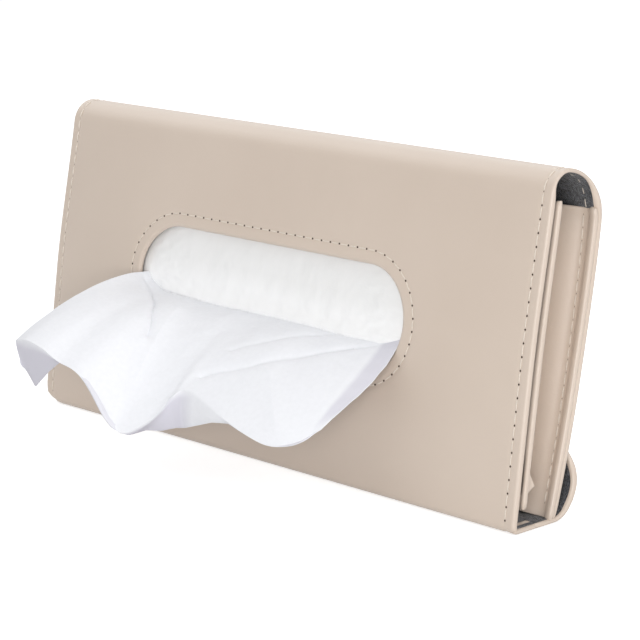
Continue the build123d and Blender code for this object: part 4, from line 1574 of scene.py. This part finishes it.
class TISSUEHOLDER_OT_materials(bpy.types.Operator):
    """Make the procedural materials"""

    bl_idname = "tissueholder.materials"
    bl_label = "Materials"

    def execute(self, context):
        looks = context.scene.tissue_holder.looks
        leather = Shader("Leather")
        cloud = leather.texture("ShaderNodeTexNoise", Scale=16.0, Detail=3.0)
        leather.paint(cloud.outputs["Fac"], (0.25, looks.leather_dark), (0.75, looks.leather))
        grain = leather.texture("ShaderNodeTexVoronoi", Scale=1700.0)
        soft = leather.texture("ShaderNodeTexNoise", Scale=420.0, Detail=3.0)
        normal = leather.bump(grain.outputs["Distance"], strength=0.07, distance=0.0002)
        normal = leather.bump(soft.outputs["Fac"], strength=0.12, distance=0.0004, under=normal)
        leather.feed(normal, "Normal")
        leather.set(Roughness=0.38, Specular_IOR_Level=0.6, Sheen_Weight=0.10, Sheen_Roughness=0.5)

        thread = Shader("Thread")
        twist = thread.texture("ShaderNodeTexNoise", Scale=2600.0, Detail=1.0)
        thread.paint(twist.outputs["Fac"], (0.3, dimmed(looks.thread, 0.85)), (0.7, looks.thread))
        thread.feed(thread.bump(twist.outputs["Fac"], strength=0.3, distance=0.0002), "Normal")
        thread.set(Roughness=0.6)

        # Painted shade in the needle holes, on small dark plugs
        hole = Shader("NeedleHoleShade")
        depth = hole.texture("ShaderNodeTexNoise", Scale=900.0)
        hole.paint(depth.outputs["Fac"], (0.2, dimmed(looks.hole, 0.7)), (0.8, looks.hole))
        hole.set(Roughness=0.9, Specular_IOR_Level=0.1)

        felt = Shader("Felt")
        fuzz = felt.texture("ShaderNodeTexNoise", Scale=900.0, Detail=6.0, Roughness=0.75)
        felt.paint(fuzz.outputs["Fac"], (0.45, looks.felt), (0.78, looks.lint))
        felt.feed(felt.bump(fuzz.outputs["Fac"], strength=0.9, distance=0.0012), "Normal")
        felt.set(Roughness=0.95, Specular_IOR_Level=0.15, Sheen_Weight=0.5)

        # The film's colour holds painted light: a greyer band of painted shade across its middle heights and
        # a painted glare in the bright lower band
        film = Shader("Film")
        milk = film.texture("ShaderNodeTexNoise", film.stretched((0.6, 1.0, 1.0)), Scale=45.0, Detail=3.0)
        level = film.over_height(*FILM_HEIGHTS, milk.outputs["Fac"], weight=0.28)
        film.paint(level, (0.12, looks.film), (0.30, looks.film), (0.52, looks.film_painted_shade),
                   (0.72, looks.film_painted_shade), (0.95, looks.film))
        pull = film.texture("ShaderNodeTexNoise", film.stretched((1.0, 1.0, 0.35)), Scale=130.0, Detail=3.0)
        fine = film.texture("ShaderNodeTexNoise", film.stretched((1.0, 1.0, 0.5)), Scale=420.0, Detail=2.0)
        normal = film.bump(pull.outputs["Fac"], strength=0.26, distance=0.0015)
        normal = film.bump(fine.outputs["Fac"], strength=0.16, distance=0.0006, under=normal)
        film.feed(normal, "Normal")
        film.set(Roughness=0.18, Specular_IOR_Level=0.5, Coat_Weight=0.5, Coat_Roughness=0.05)

        tissue = Shader("Tissue")
        crepe = tissue.texture("ShaderNodeTexNoise", Scale=650.0, Detail=5.0)
        upper = tissue.ramp(crepe.outputs["Fac"], ((0.3, dimmed(looks.tissue, 0.97)), (0.7, looks.tissue)))
        # Painted shade: the shade attribute mixes the tissue's shaded colour into its own
        tissue.feed(tissue.mixed("shade", upper, looks.tissue_painted_shade), "Base Color")
        tissue.feed(tissue.bump(crepe.outputs["Fac"], strength=0.18, distance=0.0005), "Normal")
        tissue.set(Roughness=0.95, Specular_IOR_Level=0.1, Sheen_Weight=0.1)

        metal = Shader("Metal")
        brushed = metal.texture("ShaderNodeTexNoise", Scale=600.0, Detail=2.0)
        metal.paint(brushed.outputs["Fac"], (0.3, dimmed(looks.metal, 0.85)), (0.7, looks.metal))
        metal.set(Metallic=1.0, Roughness=0.32)

        board = Shader("Board")
        pulp = board.texture("ShaderNodeTexNoise", Scale=300.0, Detail=3.0)
        board.paint(pulp.outputs["Fac"], (0.3, PULP_DARK), (0.7, PULP_LIGHT))
        board.set(Roughness=0.9)

        floor = Shader("Floor")
        dust = floor.texture("ShaderNodeTexNoise", Scale=3.0)
        floor.paint(dust.outputs["Fac"], (0.3, FLOOR_DARK), (0.7, FLOOR_LIGHT))
        glow = floor.nodes.new("ShaderNodeMath")
        glow.operation = "MULTIPLY"
        floor.links.new(seen_rays(floor.nodes, floor.links), glow.inputs[0])
        glow.inputs[1].default_value = context.scene.tissue_holder.stage.glow
        floor.feed(glow.outputs[0], "Emission Strength")
        floor.set(Roughness=0.9, Specular_IOR_Level=0.0, Emission_Color=WHITE)
        return {"FINISHED"}


def seen_rays(nodes, links):
    """1 for the camera's, glossy and transmitted rays, else 0."""
    path = nodes.new("ShaderNodeLightPath")
    value = path.outputs["Is Camera Ray"]
    for name in ("Is Glossy Ray", "Is Transmission Ray"):
        largest = nodes.new("ShaderNodeMath")
        largest.operation = "MAXIMUM"
        links.new(value, largest.inputs[0])
        links.new(path.outputs[name], largest.inputs[1])
        value = largest.outputs[0]
    return value


class TISSUEHOLDER_OT_finish_nodes(bpy.types.Operator):
    """Give the carried CAD parts their materials"""

    bl_idname = "tissueholder.finish_nodes"
    bl_label = "Finish carried parts"

    def execute(self, context):
        for made in bpy.data.objects:
            if "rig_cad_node" in made:
                node = made["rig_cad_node"]
                finish = next((name for word, name in FINISHES if word in node), "Leather")
                made.data.materials.clear()
                made.data.materials.append(bpy.data.materials[finish])
        return {"FINISHED"}


# Stage


# The lights' sizes and places, and the place that they are aimed at
TOP_LIGHT = (1.2, (-0.35, 0.12, 0.80))
FRONT_LIGHT = (0.6, (0.82, -0.98, 0.15))
SIDE_LIGHT = (0.6, (0.90, 0.12, 0.50))
LIGHTS_AIM = (0, 0, 0.05)
# The camera's sensor in mm, and what it sees, from near to far
SENSOR = 36.0
NEAR_FAR = (0.05, 50.0)
# Half the floor's side, and how far it lies under the holder
FLOOR_REACH = 4.0
FLOOR_DROP = 0.0002


class TISSUEHOLDER_OT_stage(bpy.types.Operator):
    """Set the camera, the lights, the floor and the white surroundings"""

    bl_idname = "tissueholder.stage"
    bl_label = "Stage"

    def execute(self, context):
        settings = context.scene.tissue_holder.stage
        scene = context.scene
        view = bpy.data.cameras.new("View")
        view.lens, view.sensor_width = settings.lens, SENSOR
        view.clip_start, view.clip_end = NEAR_FAR
        camera = bpy.data.objects.new("View", view)
        camera.location, camera.rotation_euler = settings.eye, settings.turn
        scene.collection.objects.link(camera)
        scene.camera = camera
        scene.view_settings.view_transform = "Standard"

        self.lamp(scene, "Top", settings.top, *TOP_LIGHT)
        self.lamp(scene, "Front", settings.front, *FRONT_LIGHT)
        self.lamp(scene, "Side", settings.side, *SIDE_LIGHT)

        mesh = bpy.data.meshes.new("Floor")
        corners = [(x * FLOOR_REACH, y * FLOOR_REACH, 0) for x, y in ((-1, -1), (1, -1), (1, 1), (-1, 1))]
        mesh.from_pydata(corners, [], [(0, 1, 2, 3)])
        mesh.materials.append(bpy.data.materials["Floor"])
        floor = bpy.data.objects.new("Floor", mesh)
        floor.location = (0, 0, -FLOOR_DROP)
        scene.collection.objects.link(floor)

        world = bpy.data.worlds.new("Surroundings")
        scene.world = world
        world.use_nodes = True
        nodes, links = world.node_tree.nodes, world.node_tree.links
        backdrop = nodes["Background"]
        even = nodes.new("ShaderNodeBackground")
        even.inputs["Color"].default_value = WHITE
        even.inputs["Strength"].default_value = settings.sky
        backdrop.inputs["Color"].default_value = WHITE
        backdrop.inputs["Strength"].default_value = 1.0
        mix = nodes.new("ShaderNodeMixShader")
        links.new(seen_rays(nodes, links), mix.inputs["Fac"])
        links.new(even.outputs["Background"], mix.inputs[1])
        links.new(backdrop.outputs["Background"], mix.inputs[2])
        links.new(mix.outputs["Shader"], nodes["World Output"].inputs["Surface"])
        return {"FINISHED"}

    @staticmethod
    def lamp(scene, name, power, size, place):
        """A square soft light at a place, aimed at the holder."""
        light = bpy.data.lights.new(name, "AREA")
        light.energy, light.size = power, size
        lamp = bpy.data.objects.new(name, light)
        lamp.location = place
        aim = np.array(LIGHTS_AIM) - place
        lamp.rotation_euler = (
            math.atan2(math.hypot(aim[0], aim[1]), -aim[2]), 0.0, math.atan2(aim[0], -aim[1]) + math.pi,
        )
        scene.collection.objects.link(lamp)


class TISSUEHOLDER_PT_panel(bpy.types.Panel):
    """Lists the steps of the build"""

    bl_label = "Tissue Holder"
    bl_idname = "TISSUEHOLDER_PT_panel"
    bl_space_type = "VIEW_3D"
    bl_region_type = "UI"
    bl_category = "Tissue Holder"

    def draw(self, context):
        """A button for each step."""
        for step in STEPS:
            self.layout.operator(step.bl_idname)


STEPS = (
    TISSUEHOLDER_OT_materials,
    TISSUEHOLDER_OT_leather,
    TISSUEHOLDER_OT_felt,
    TISSUEHOLDER_OT_gussets,
    TISSUEHOLDER_OT_seams,
    TISSUEHOLDER_OT_wrapper,
    TISSUEHOLDER_OT_tissue,
    TISSUEHOLDER_OT_straps,
    TISSUEHOLDER_OT_finish_nodes,
    TISSUEHOLDER_OT_stage,
)
CLASSES = (
    HolderCover, HolderOpening, HolderRefill, HolderSeams, HolderGusset, HolderStraps, HolderTissue,
    HolderStage, HolderLooks, HolderSettings, *STEPS, TISSUEHOLDER_PT_panel,
)


def register():
    """Make the settings, the steps and the panel known."""
    for group in CLASSES:
        bpy.utils.register_class(group)
    bpy.types.Scene.tissue_holder = PointerProperty(type=HolderSettings)


def unregister():
    """Take them away again."""
    del bpy.types.Scene.tissue_holder
    for group in reversed(CLASSES):
        bpy.utils.unregister_class(group)


def main():
    """Run the steps in order."""
    register()
    for step in STEPS:
        family, action = step.bl_idname.split(".")
        getattr(getattr(bpy.ops, family), action)()


if __name__ == "__main__":
    main()
